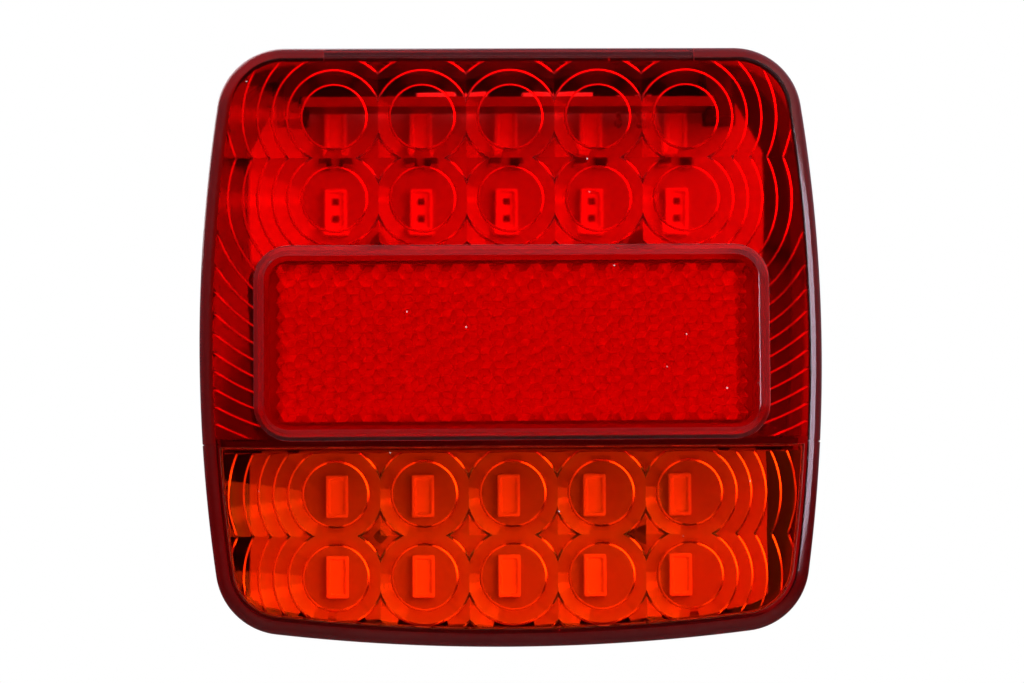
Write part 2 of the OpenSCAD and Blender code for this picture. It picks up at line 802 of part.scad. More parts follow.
housing();
lens_seal();
lens_red();
lens_amber();
reflex_panel();
reflex_backing();
plate_window();
main_board();
plate_board();
light_divider();
cable_grommet();
mounting_studs();
board_screws();
link_pins();
supply_diodes();
resistors_red();
resistors_amber();
resistor_plate();
led_red(1);  // led_red_1
led_red(2);  // led_red_2
led_red(3);  // led_red_3
led_red(4);  // led_red_4
led_red(5);  // led_red_5
led_red(6);  // led_red_6
led_red(7);  // led_red_7
led_red(8);  // led_red_8
led_red(9);  // led_red_9
led_red(10);  // led_red_10
led_amber(1);  // led_amber_1
led_amber(2);  // led_amber_2
led_amber(3);  // led_amber_3
led_amber(4);  // led_amber_4
led_amber(5);  // led_amber_5
led_amber(6);  // led_amber_6
led_amber(7);  // led_amber_7
led_amber(8);  // led_amber_8
led_amber(9);  // led_amber_9
led_amber(10);  // led_amber_10
led_plate(1);  // led_plate_1
led_plate(2);  // led_plate_2
led_plate(3);  // led_plate_3
led_plate(4);  // led_plate_4
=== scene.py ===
"""Square combination tail lamp of a trailer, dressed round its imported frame.

Shapes are worked out on the bench, in millimetres, with the lamp lying on its back: X to the
right, Y up the lamp and Z from the mounting face to the lens. Mesh building turns them upright.
"""

import json
import logging
import math
from dataclasses import dataclass, field
from enum import Enum

import bmesh
import bpy
from mathutils import Matrix, Vector

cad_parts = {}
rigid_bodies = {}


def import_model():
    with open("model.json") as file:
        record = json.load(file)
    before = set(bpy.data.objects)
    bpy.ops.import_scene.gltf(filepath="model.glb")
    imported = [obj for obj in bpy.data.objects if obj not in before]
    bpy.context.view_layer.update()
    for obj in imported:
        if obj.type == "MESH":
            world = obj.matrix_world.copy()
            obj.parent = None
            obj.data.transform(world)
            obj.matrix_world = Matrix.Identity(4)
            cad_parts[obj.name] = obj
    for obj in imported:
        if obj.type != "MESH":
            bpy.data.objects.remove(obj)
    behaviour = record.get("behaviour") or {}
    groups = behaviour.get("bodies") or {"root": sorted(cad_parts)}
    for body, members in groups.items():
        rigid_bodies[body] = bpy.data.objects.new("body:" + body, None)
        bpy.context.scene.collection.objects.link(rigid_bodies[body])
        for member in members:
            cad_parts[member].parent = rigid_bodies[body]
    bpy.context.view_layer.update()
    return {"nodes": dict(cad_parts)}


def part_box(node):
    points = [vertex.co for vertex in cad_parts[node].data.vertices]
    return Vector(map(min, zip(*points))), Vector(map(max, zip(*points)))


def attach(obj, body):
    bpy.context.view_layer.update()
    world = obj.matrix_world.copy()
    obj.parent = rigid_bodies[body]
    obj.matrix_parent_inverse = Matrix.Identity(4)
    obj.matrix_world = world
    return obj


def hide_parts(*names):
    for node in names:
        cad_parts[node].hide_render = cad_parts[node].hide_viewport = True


LOG = logging.getLogger("tail_lamp")
ROOT = "root"
# Attribute that says how grained a face is, from 0 to 1.
GRAINED = "grained"
# Pixels across the picture.
IMAGE_WIDTH = 1024
# Metres in a millimetre.
MM = 0.001
# How far joined solids run into each other, in millimetres.
WELD = 0.3
# A face whose normal rises less than this counts as upright.
UPRIGHT = 0.1
# Turns the lamp from lying on its back to standing up, in metres.
BENCH_TO_ROW = Matrix(((MM, 0, 0, 0), (0, 0, -MM, 0), (0, MM, 0, 0), (0, 0, 0, 1)))

Point = tuple[float, float]
Ring = list[Vector]
Colour = tuple[float, float, float]
Value = bpy.types.NodeSocket | float | tuple[float, ...]
WHITE = (1.0, 1.0, 1.0, 1.0)
# Dyes of the lens plastics, and how much light they take up for each metre.
RED: Colour = (0.992, 0.0, 0.0)
AMBER: Colour = (0.998, 0.56, 0.0)
DEEP_DYE = 1340.0


class Join(Enum):
    """How one closed mesh is combined with another."""

    ADD = "UNION"
    CUT = "DIFFERENCE"
    KEEP = "INTERSECT"


class Side(Enum):
    """Which half of the lamp a row of optics lies in."""

    ABOVE = 1
    BELOW = -1


def arc(centre: Point, radius: float, start: float, end: float, steps: int) -> list[Point]:
    """Points of an arc, without its last one.

    Args:
        centre: Centre of the arc.
        radius: Its radius.
        start: First angle in degrees.
        end: Last angle in degrees.
        steps: How many points it gives.

    Returns:
        The points in order.
    """
    turn = [math.radians(start + (end - start) * i / steps) for i in range(steps)]
    return [(centre[0] + radius * math.cos(a), centre[1] + radius * math.sin(a)) for a in turn]


def rounded(
    width: float, height: float, radius: float, steps: int = 8, up: float = 0.0
) -> list[Point]:
    """Outline of a rectangle with rounded corners.

    Args:
        width: Size along X.
        height: Size along Y.
        radius: Corner radius.
        steps: Points for each corner.
        up: How far its middle lies above the origin.

    Returns:
        The outline, turning left.
    """
    x, y = width / 2 - radius, height / 2 - radius
    corners = ((x, y, 0), (-x, y, 90), (-x, -y, 180), (x, -y, 270))
    points: list[Point] = []
    for cx, cy, start in corners:
        points += arc((cx, cy + up), radius, start, start + 90, steps)
        end = math.radians(start + 90)
        points.append((cx + radius * math.cos(end), cy + up + radius * math.sin(end)))
    return points


def at_height(points: list[Point], z: float) -> Ring:
    """Lifts an outline to one height and returns it as a ring."""
    return [Vector((x, y, z)) for x, y in points]


@dataclass(frozen=True)
class Outline:
    """The lamp's outline: flat top, bulged sides and bottom, rounded corners.

    Its arcs keep their centres when the outline is moved in or out.
    """

    width: float = 106.7
    height: float = 102.7
    side_bulge: float = 277.0
    bottom_bulge: float = 338.0
    corner: float = 11.7
    corner_steps: int = 20
    bulge_steps: int = 14

    def centres(self) -> tuple[Point, Point, Point, Point]:
        """Finds the centres of the outline's arcs.

        Returns:
            Centres of the right side, the bottom, the top corner and the bottom corner.
        """
        side = (self.width / 2 - self.side_bulge, 0.0)
        bottom = (0.0, self.bottom_bulge - self.height / 2)
        top_y = self.height / 2 - self.corner
        reach = self.side_bulge - self.corner
        top = (side[0] + math.sqrt(reach**2 - top_y**2), top_y)
        other = self.bottom_bulge - self.corner
        span = math.dist(side, bottom)
        ux, uy = (bottom[0] - side[0]) / span, (bottom[1] - side[1]) / span
        along = (reach**2 - other**2 + span**2) / (2 * span)
        off = math.sqrt(reach**2 - along**2)
        low = (side[0] + along * ux + off * uy, side[1] + along * uy - off * ux)
        return side, bottom, top, low

    def points(self, inset: float) -> list[Point]:
        """The outline moved in.

        Args:
            inset: How far it is moved in, negative for outwards.

        Returns:
            The outline, turning left from the middle of the bottom.
        """
        side, bottom, top, low = self.centres()
        foot = math.degrees(math.atan2(low[1] - bottom[1], low[0] - bottom[0]))
        flank = math.degrees(math.atan2(low[1] - side[1], low[0] - side[0]))
        shoulder = math.degrees(math.atan2(top[1] - side[1], top[0] - side[0]))
        half = arc(bottom, self.bottom_bulge - inset, -90, foot, self.bulge_steps)
        half += arc(low, self.corner - inset, foot, flank, self.corner_steps)
        half += arc(side, self.side_bulge - inset, flank, shoulder, 2 * self.bulge_steps)
        half += arc(top, self.corner - inset, shoulder, 90, self.corner_steps)
        half.append((top[0], top[1] + self.corner - inset))
        return half + [(-x, y) for x, y in reversed(half[1:])]


@dataclass
class Solid:
    """A closed mesh that is being built on the bench."""

    name: str
    verts: list[Vector] = field(default_factory=list)
    faces: list[list[int]] = field(default_factory=list)

    def loft(self, rings: list[Ring]) -> "Solid":
        """Adds a closed solid through rings of equal length, lowest first.

        Args:
            rings: Rings that turn left, seen from above.

        Returns:
            This solid.
        """
        base, n, last = len(self.verts), len(rings[0]), len(rings) - 1
        for ring in rings:
            self.verts += ring
        self.faces.append([base + j for j in reversed(range(n))])
        self.faces.append([base + last * n + j for j in range(n)])
        for i in range(last):
            for j in range(n):
                k = (j + 1) % n
                low, high = base + i * n, base + (i + 1) * n
                self.faces.append([low + j, low + k, high + k, high + j])
        return self

    def turn(self, profile: list[Point], segments: int, centre: Point, z: float) -> "Solid":
        """Adds a solid turned about an upright axis.

        Args:
            profile: Radius and height, from the axis at the bottom to the axis at the top.
            segments: Steps of a full turn.
            centre: Where the axis stands.
            z: Height that the profile's zero lies at.

        Returns:
            This solid.
        """
        base = len(self.verts)
        self.verts.append(Vector((centre[0], centre[1], z + profile[0][1])))
        for r, h in profile[1:-1]:
            for s in range(segments):
                a = 2 * math.pi * s / segments
                x, y = centre[0] + r * math.cos(a), centre[1] + r * math.sin(a)
                self.verts.append(Vector((x, y, z + h)))
        self.verts.append(Vector((centre[0], centre[1], z + profile[-1][1])))
        rows, tip = len(profile) - 2, len(self.verts) - 1
        for s in range(segments):
            t = (s + 1) % segments
            self.faces.append([base, base + 1 + t, base + 1 + s])
            for i in range(rows - 1):
                low = base + 1 + i * segments
                high = low + segments
                self.faces.append([low + s, low + t, high + t, high + s])
            high = base + 1 + (rows - 1) * segments
            self.faces.append([high + s, high + t, tip])
        return self

    def box(self, low: tuple[float, float, float], high: tuple[float, float, float]) -> "Solid":
        """Adds a box between two corners and returns this solid."""
        flat = [(low[0], low[1]), (high[0], low[1]), (high[0], high[1]), (low[0], high[1])]
        return self.loft([at_height(flat, low[2]), at_height(flat, high[2])])

    def to_object(self) -> bpy.types.Object:
        """Makes a scene object of the mesh.

        Returns:
            The object, still in bench millimetres.
        """
        mesh = bpy.data.meshes.new(self.name)
        mesh.from_pydata([tuple(v) for v in self.verts], [], self.faces)
        mesh.validate()
        made = bpy.data.objects.new(self.name, mesh)
        bpy.context.scene.collection.objects.link(made)
        return made


def baked(target: bpy.types.Object) -> bpy.types.Object:
    """Applies all modifiers of an object.

    Args:
        target: Object whose mesh is replaced by the evaluated one.

    Returns:
        The same object.
    """
    graph = bpy.context.evaluated_depsgraph_get()
    mesh = bpy.data.meshes.new_from_object(target.evaluated_get(graph))
    old = target.data
    target.modifiers.clear()
    target.data = mesh
    mesh.name = target.name
    bpy.data.meshes.remove(old)
    return target


def combine(target: bpy.types.Object, tool: Solid, how: Join) -> bpy.types.Object:
    """Combines an object with a solid.

    Args:
        target: Object that is changed.
        tool: Solid that it is combined with.
        how: Whether the solid is added, cut away or kept in common.

    Returns:
        The target.
    """
    other = tool.to_object()
    step = target.modifiers.new("step", "BOOLEAN")
    step.object = other
    step.operation = how.value
    step.solver = "MANIFOLD"
    baked(target)
    mesh = other.data
    bpy.data.objects.remove(other)
    bpy.data.meshes.remove(mesh)
    return target


def grain_faces(target: bpy.types.Object, marks: list[float]) -> None:
    """Marks the faces that come grained out of the mould.

    Args:
        target: Object whose faces are marked.
        marks: How grained each face is, from 0 to 1.
    """
    grain = target.data.attributes.new(GRAINED, "FLOAT", "FACE")
    grain.data.foreach_set("value", marks)


def finish_piece(
    piece: bpy.types.Object,
    material: bpy.types.Material,
    nodes: list[str],
    sharp: float = 30.0,
) -> bpy.types.Object:
    """Stands a bench object up, shades it, dresses it and fixes it to the lamp.

    Args:
        piece: Object in bench millimetres.
        material: Its finish, unless it has its own already.
        nodes: Solids of the frame that it stands for.
        sharp: Angle in degrees over which an edge stays sharp.

    Returns:
        The piece.
    """
    mesh = piece.data
    mesh.transform(BENCH_TO_ROW)
    for polygon in mesh.polygons:
        polygon.use_smooth = True
    mesh.set_sharp_from_angle(angle=math.radians(sharp))
    weigh = piece.modifiers.new("weigh", "WEIGHTED_NORMAL")
    weigh.keep_sharp = True
    baked(piece)
    if not any(piece.data.materials):
        piece.data.materials.clear()
        piece.data.materials.append(material)
    if nodes:
        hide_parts(*nodes)
    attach(piece, ROOT)
    LOG.info("%s: %d faces", piece.name, len(piece.data.polygons))
    return piece


class Graph:
    """A small helper that lays out the nodes of a material or of the world."""

    def __init__(self, owner: bpy.types.Material | bpy.types.World, output: str) -> None:
        """Starts an empty node tree.

        Args:
            owner: Material or world that is laid out.
            output: Type of its output node.
        """
        owner.use_nodes = True
        self.owner = owner
        self.nodes = owner.node_tree.nodes
        self.links = owner.node_tree.links
        self.nodes.clear()
        self.output = self.nodes.new(output)

    @classmethod
    def of_material(cls, name: str) -> "Graph":
        """Starts a new material of that name."""
        return cls(bpy.data.materials.new(name), "ShaderNodeOutputMaterial")

    def put(self, target: bpy.types.NodeSocket, value: Value) -> None:
        """Fills an input socket.

        Args:
            target: The input socket.
            value: Another socket to link it to, or a plain value.
        """
        if isinstance(value, bpy.types.NodeSocket):
            self.links.new(value, target)
        else:
            target.default_value = value

    def add(self, kind: str, **values: Value) -> bpy.types.Node:
        """Adds a node and fills its input sockets.

        Args:
            kind: Node type.
            values: Socket names, with underscores for spaces, and what goes into them.

        Returns:
            The node.
        """
        node = self.nodes.new(kind)
        for key, value in values.items():
            self.put(node.inputs[key.replace("_", " ")], value)
        return node

    def math(self, how: str, *values: Value) -> bpy.types.NodeSocket:
        """Adds a sum.

        Args:
            how: Its kind.
            values: What goes into it, in order.

        Returns:
            Its result.
        """
        node = self.nodes.new("ShaderNodeMath")
        node.operation = how
        for target, value in zip(node.inputs, values):
            self.put(target, value)
        return node.outputs["Value"]

    def noise(self, scale: float, detail: float = 3.0) -> bpy.types.NodeSocket:
        """Adds noise in object space and returns its value."""
        place = self.nodes.new("ShaderNodeTexCoord").outputs["Object"]
        return self.add("ShaderNodeTexNoise", Vector=place, Scale=scale, Detail=detail).outputs[0]

    def ramp(
        self,
        source: bpy.types.NodeSocket,
        values: Point,
        span: Point = (0.0, 1.0),
        smooth: bool = False,
    ) -> bpy.types.NodeSocket:
        """Maps a value from one span to another.

        Args:
            source: The value.
            values: What it becomes at both ends of the span.
            span: Where the span starts and ends.
            smooth: Whether it eases in and out.

        Returns:
            The mapped value.
        """
        node = self.add(
            "ShaderNodeMapRange", Value=source, From_Min=span[0], From_Max=span[1],
            To_Min=values[0], To_Max=values[1],
        )
        node.interpolation_type = "SMOOTHSTEP" if smooth else "LINEAR"
        return node.outputs["Result"]

    def bump(
        self, source: bpy.types.NodeSocket, distance: float, strength: float
    ) -> bpy.types.NodeSocket:
        """Adds bump from a height and returns the normal."""
        node = self.add("ShaderNodeBump", Height=source, Distance=distance, Strength=strength)
        return node.outputs["Normal"]

    def tint(
        self, share: bpy.types.NodeSocket, first: Colour, second: Colour
    ) -> bpy.types.NodeSocket:
        """Mixes two colours.

        Args:
            share: Share of the second colour.
            first: Colour at share 0.
            second: Colour at share 1.

        Returns:
            The mixed colour.
        """
        node = self.nodes.new("ShaderNodeMix")
        node.data_type = "RGBA"
        self.put(node.inputs["Factor"], share)
        for socket, colour in zip([s for s in node.inputs if s.type == "RGBA"], (first, second)):
            socket.default_value = (*colour, 1)
        return next(s for s in node.outputs if s.type == "RGBA")

    def blend(self, share: Value, first: bpy.types.Node, second: bpy.types.Node) -> bpy.types.Node:
        """Mixes two shaders.

        Args:
            share: Share of the second shader.
            first: Shader at share 0.
            second: Shader at share 1.

        Returns:
            The mixed shader.
        """
        node = self.add("ShaderNodeMixShader", Fac=share)
        self.links.new(first.outputs[0], node.inputs[1])
        self.links.new(second.outputs[0], node.inputs[2])
        return node

    def show(self, shader: bpy.types.Node) -> bpy.types.Material | bpy.types.World:
        """Makes a shader the surface and returns what is laid out."""
        self.links.new(shader.outputs[0], self.output.inputs["Surface"])
        return self.owner


@dataclass(frozen=True)
class LensPlastic:
    """Transparent coloured plastic that tints light by how far it travels inside.

    Faces marked as grained are rougher. Shadow rays pass it as through a thin film.
    """

    name: str
    keeps: Colour
    takes_per_m: float
    gloss: Point = (0.0, 0.03)
    grain_scale: float = 45.0
    ripple: float = 0.00003
    ripple_strength: float = 0.2
    grained: float = 0.28
    index: float = 1.49
    passes: Colour = (0.95, 0.95, 0.95)
    dust: float = 0.9
    dust_scale: float = 170.0
    dust_size: float = 0.03
    dust_colour: Colour = (0.75, 0.7, 0.7)

    def build(self) -> bpy.types.Material:
        """Lays out the material.

        Returns:
            The material.
        """
        graph = Graph.of_material(self.name)
        grain = graph.noise(self.grain_scale, 1.0)
        marked = graph.nodes.new("ShaderNodeAttribute")
        marked.attribute_name = GRAINED
        gloss = graph.ramp(grain, self.gloss)
        glass = graph.add(
            "ShaderNodeBsdfPrincipled",
            Base_Color=WHITE,
            IOR=self.index,
            Transmission_Weight=1.0,
            Roughness=graph.math("MULTIPLY_ADD", marked.outputs["Fac"], self.grained, gloss),
            Normal=graph.bump(grain, self.ripple, self.ripple_strength),
        )
        film = graph.add("ShaderNodeBsdfTransparent", Color=(*self.passes, 1))
        speck = graph.add("ShaderNodeBsdfDiffuse", Color=(*self.dust_colour, 1))
        shadow = graph.nodes.new("ShaderNodeLightPath").outputs["Is Shadow Ray"]
        dye = (*self.keeps, 1)
        body = graph.add("ShaderNodeVolumeAbsorption", Color=dye, Density=self.takes_per_m)
        graph.links.new(body.outputs["Volume"], graph.output.inputs["Volume"])
        return graph.show(graph.blend(shadow, graph.blend(self.specks(graph), glass, speck), film))

    def specks(self, graph: Graph) -> bpy.types.NodeSocket:
        """Where a few specks of dust lie.

        Args:
            graph: Nodes of the material.

        Returns:
            A value that is above 0 on a speck.
        """
        place = graph.nodes.new("ShaderNodeTexCoord").outputs["Object"]
        cells = graph.add("ShaderNodeTexVoronoi", Vector=place, Scale=self.dust_scale)
        return graph.ramp(cells.outputs["Distance"], (self.dust, 0.0), (0.0, self.dust_size))


@dataclass(frozen=True)
class Moulded:
    """Opaque moulded plastic, rubber or board, with grain and uneven gloss."""

    name: str
    colour: Colour
    rough: Point
    grain_scale: float = 900.0
    grain_depth: float = 0.00002
    grain_strength: float = 0.3
    tone: float = 0.12
    patch_scale: float = 60.0
    specular: float = 0.5

    def build(self) -> bpy.types.Material:
        """Lays out the material.

        Returns:
            The material.
        """
        graph = Graph.of_material(self.name)
        patches = graph.noise(self.patch_scale)
        darker = tuple(part * (1 - self.tone) for part in self.colour)
        grain = graph.noise(self.grain_scale, 2.0)
        return graph.show(graph.add(
            "ShaderNodeBsdfPrincipled",
            Base_Color=graph.tint(patches, darker, self.colour),
            Specular_IOR_Level=self.specular,
            Roughness=graph.ramp(patches, self.rough),
            Normal=graph.bump(grain, self.grain_depth, self.grain_strength),
        ))


@dataclass(frozen=True)
class BoardWithPaintedShade:
    """A white lacquered board with painted shade: a dark band across its middle heights, where
    shade falls beside the reflector.
    """

    name: str
    white: Colour
    painted_shade: Colour
    shade_band: Point
    rough: Point = (0.35, 0.5)
    shade_fade: float = 0.0012
    grain_scale: float = 300.0
    grain_depth: float = 0.00003
    grain_strength: float = 0.3

    def build(self) -> bpy.types.Material:
        """Lays out the material.

        Returns:
            The material.
        """
        graph = Graph.of_material(self.name)
        place = graph.nodes.new("ShaderNodeNewGeometry").outputs["Position"]
        height = graph.add("ShaderNodeSeparateXYZ", Vector=place).outputs["Z"]
        # Painted shade: the board is dark between these heights, with soft edges, beside the
        # reflector.
        low, high = self.shade_band
        above = graph.ramp(height, (0.0, 1.0), (high, high + self.shade_fade), smooth=True)
        below = graph.ramp(height, (1.0, 0.0), (low - self.shade_fade, low), smooth=True)
        grain = graph.noise(self.grain_scale)
        return graph.show(graph.add(
            "ShaderNodeBsdfPrincipled",
            Base_Color=graph.tint(graph.math("MAXIMUM", above, below), self.painted_shade, self.white),
            Roughness=graph.ramp(grain, self.rough),
            Normal=graph.bump(grain, self.grain_depth, self.grain_strength),
        ))


@dataclass(frozen=True)
class Metal:
    """Bare or plated metal with uneven gloss."""

    name: str
    colour: Colour
    rough: Point
    grain_scale: float = 400.0
    grain_depth: float = 0.00002
    grain_strength: float = 0.2

    def build(self) -> bpy.types.Material:
        """Lays out the material.

        Returns:
            The material.
        """
        graph = Graph.of_material(self.name)
        grain = graph.noise(self.grain_scale)
        return graph.show(graph.add(
            "ShaderNodeBsdfPrincipled",
            Base_Color=(*self.colour, 1),
            Metallic=1.0,
            Roughness=graph.ramp(grain, self.rough),
            Normal=graph.bump(grain, self.grain_depth, self.grain_strength),
        ))


def finish(kind: type, *values: object, **named: object) -> bpy.types.Material:
    """Gives a dataclass field whose material is laid out when the finishes are made.

    Args:
        kind: Class of the finish.
        values: Its first fields, in order.
        named: Its other fields by name.

    Returns:
        The field.
    """
    return field(default_factory=kind(*values, **named).build)


@dataclass
class Finishes:
    """Every finish of the lamp, made once."""

    red: bpy.types.Material = finish(LensPlastic, "red_plastic", RED, DEEP_DYE, (0.07, 0.13))
    clear_red: bpy.types.Material = finish(
        LensPlastic, "reflector_plastic", RED, DEEP_DYE, (0.0, 0.04)
    )
    amber: bpy.types.Material = finish(
        LensPlastic, "amber_plastic", AMBER, DEEP_DYE, (0.03, 0.07),
        grained=0.25, passes=(0.98, 0.96, 0.95),
    )
    clear: bpy.types.Material = finish(LensPlastic, "clear_plastic", (0.95, 0.97, 0.97), 60.0)
    housing: bpy.types.Material = finish(
        Moulded, "black_plastic", (0.03, 0.03, 0.032), (0.55, 0.7), specular=0.15
    )
    sealant: bpy.types.Material = finish(Moulded, "sealant", (0.02, 0.02, 0.022), (0.55, 0.75))
    rubber: bpy.types.Material = finish(
        Moulded, "grommet_rubber", (0.013, 0.013, 0.013), (0.6, 0.8), 500.0
    )
    board: bpy.types.Material = finish(
        Moulded, "white_board", (0.36, 0.36, 0.34), (0.35, 0.5), 300.0, 0.00003
    )
    # Main board with a band of painted shade across its middle.
    main_board: bpy.types.Material = finish(
        BoardWithPaintedShade, "lacquered_board", (0.36, 0.36, 0.34), (0.05, 0.045, 0.03), (-0.0165, 0.0165)
    )
    cut_edge: bpy.types.Material = finish(
        Moulded, "cut_edge", (0.17, 0.16, 0.14), (0.6, 0.8), 700.0, 0.00004
    )
    # Dark underside of the number plate board: painted shade.
    solder_side: bpy.types.Material = finish(
        Moulded, "solder_side", (0.03, 0.035, 0.03), (0.3, 0.45), 300.0
    )
    package: bpy.types.Material = finish(Moulded, "diode_package", (0.90, 0.89, 0.86), (0.3, 0.45))
    white: bpy.types.Material = finish(Moulded, "white_plastic", (0.6, 0.6, 0.58), (0.4, 0.55))
    chip: bpy.types.Material = finish(Moulded, "chip", (0.10, 0.06, 0.05), (0.2, 0.35))
    component: bpy.types.Material = finish(
        Moulded, "component_black", (0.02, 0.02, 0.022), (0.35, 0.5)
    )
    dark_steel: bpy.types.Material = finish(Metal, "dark_steel", (0.16, 0.15, 0.15), (0.3, 0.45))
    prisms: bpy.types.Material = finish(Metal, "frosted_prisms", (0.95, 0.95, 0.95), (0.34, 0.42))
    # A darker copy of the frosted prisms, painted shade on one set of cube faces.
    dull_prisms: bpy.types.Material = finish(Metal, "dull_prisms", (0.62, 0.62, 0.62), (0.34, 0.42))
    tin: bpy.types.Material = finish(Metal, "tin", (0.76, 0.75, 0.72), (0.22, 0.4))
    zinc: bpy.types.Material = finish(Metal, "zinc", (0.72, 0.73, 0.76), (0.25, 0.42))


@dataclass
class Optics:
    """Rows of ring lenses on the inside of the lens face."""

    outline: Outline = field(default_factory=Outline)
    columns: int = 5
    col_pitch: float = 15.1
    row_margin: float = 11.95
    row_pitch: float = 14.15
    ring: float = 5.4
    ring_pitch: float = 2.52
    curve: float = 31.0
    tooth_max: float = 0.6
    riser_draft: float = 0.36
    riser_normals: Point = (-0.75, -0.3)
    crest: float = 0.06
    crest_tip: float = 0.3
    bond: float = WELD
    segments: int = 128
    cap_steps: int = 10

    def inner_row(self) -> float:
        """Height of the row nearest the middle of the lamp."""
        return self.outline.height / 2 - self.row_margin - self.row_pitch

    def middle(self) -> float:
        """Height of the line between two rows."""
        return self.inner_row() + self.row_pitch / 2

    def profile(self, reach: float) -> list[Point]:
        """Section of one optic from its axis outwards.

        Args:
            reach: Radius that it has to cover.

        Returns:
            Radius and height, from the axis below to the axis above.
        """
        drop = self.curve - math.sqrt(self.curve**2 - self.ring**2)
        points: list[Point] = [(0.0, -drop)]
        for i in range(1, self.cap_steps + 1):
            r = self.ring * i / self.cap_steps
            points.append((r, self.curve - drop - math.sqrt(self.curve**2 - r**2)))
        for k in range(math.ceil((reach - self.ring) / self.ring_pitch)):
            start = self.ring + k * self.ring_pitch
            end = start + self.ring_pitch
            depth = self.tooth_max
            foot = start + self.riser_draft
            slope = depth / (end - foot)
            steep = depth / self.riser_draft
            points.append((foot - self.crest / steep, self.crest - depth))
            points.append((foot, self.crest_tip * self.crest - depth))
            points.append((foot + self.crest, slope * self.crest - depth))
            points.append((end, 0.0))
        points.append((points[-1][0], self.bond))
        points.append((0.0, self.bond))
        return points

    def add_to(
        self,
        target: bpy.types.Object,
        side: Side,
        area: Solid,
        starts: tuple[float, float],
        face_in: float,
    ) -> None:
        """Adds the optics of one colour to a lens.

        Args:
            target: The lens in bench millimetres.
            side: Which half of the lamp.
            area: Prism that holds all the optics.
            starts: Where the inner row begins in the middle and in the outer columns.
            face_in: Height of the inside of the lens face.
        """
        low, high = face_in - self.tooth_max - 1, face_in + 1
        half = (self.columns - 1) // 2
        field_of = Solid("optic_field")
        for col in range(-half, half + 1):
            x0 = -self.outline.width / 2 if col == -half else (col - 0.5) * self.col_pitch
            x1 = self.outline.width / 2 if col == half else (col + 0.5) * self.col_pitch
            for row in range(2):
                y0 = starts[abs(col) == half] if row == 0 else self.middle()
                y1 = self.middle() if row == 0 else self.outline.height / 2
                cx, cy = col * self.col_pitch, self.inner_row() + row * self.row_pitch
                reach = math.hypot(max(cx - x0, x1 - cx), max(cy - y0, y1 - cy))
                tile = Solid("optic").turn(
                    self.profile(reach), self.segments, (cx, side.value * cy), face_in
                ).to_object()
                lows = (y0, y1) if side is Side.ABOVE else (-y1, -y0)
                combine(tile, Solid("cell").box((x0, lows[0], low), (x1, lows[1], high)), Join.KEEP)
                combine(tile, area, Join.KEEP)
                self.gather(tile, field_of)
        combine(target, field_of, Join.ADD)

    def is_riser(self, polygon: bpy.types.MeshPolygon, face_in: float) -> bool:
        """Tells whether a face is one of the steep steps between two rings.

        Args:
            polygon: Face of a lens in bench millimetres.
            face_in: Height of the inside of the lens face.

        Returns:
            Whether it is.
        """
        low, high = self.riser_normals
        inside = face_in - self.tooth_max - 0.01 < polygon.center.z < face_in
        return inside and low < polygon.normal.z < high

    @staticmethod
    def gather(tile: bpy.types.Object, field_of: Solid) -> None:
        """Moves an object's mesh into a solid and removes the object.

        Args:
            tile: The object, in bench millimetres.
            field_of: The solid that takes its mesh.
        """
        base = len(field_of.verts)
        field_of.verts += [v.co.copy() for v in tile.data.vertices]
        field_of.faces += [[base + i for i in p.vertices] for p in tile.data.polygons]
        mesh = tile.data
        bpy.data.objects.remove(tile)
        bpy.data.meshes.remove(mesh)


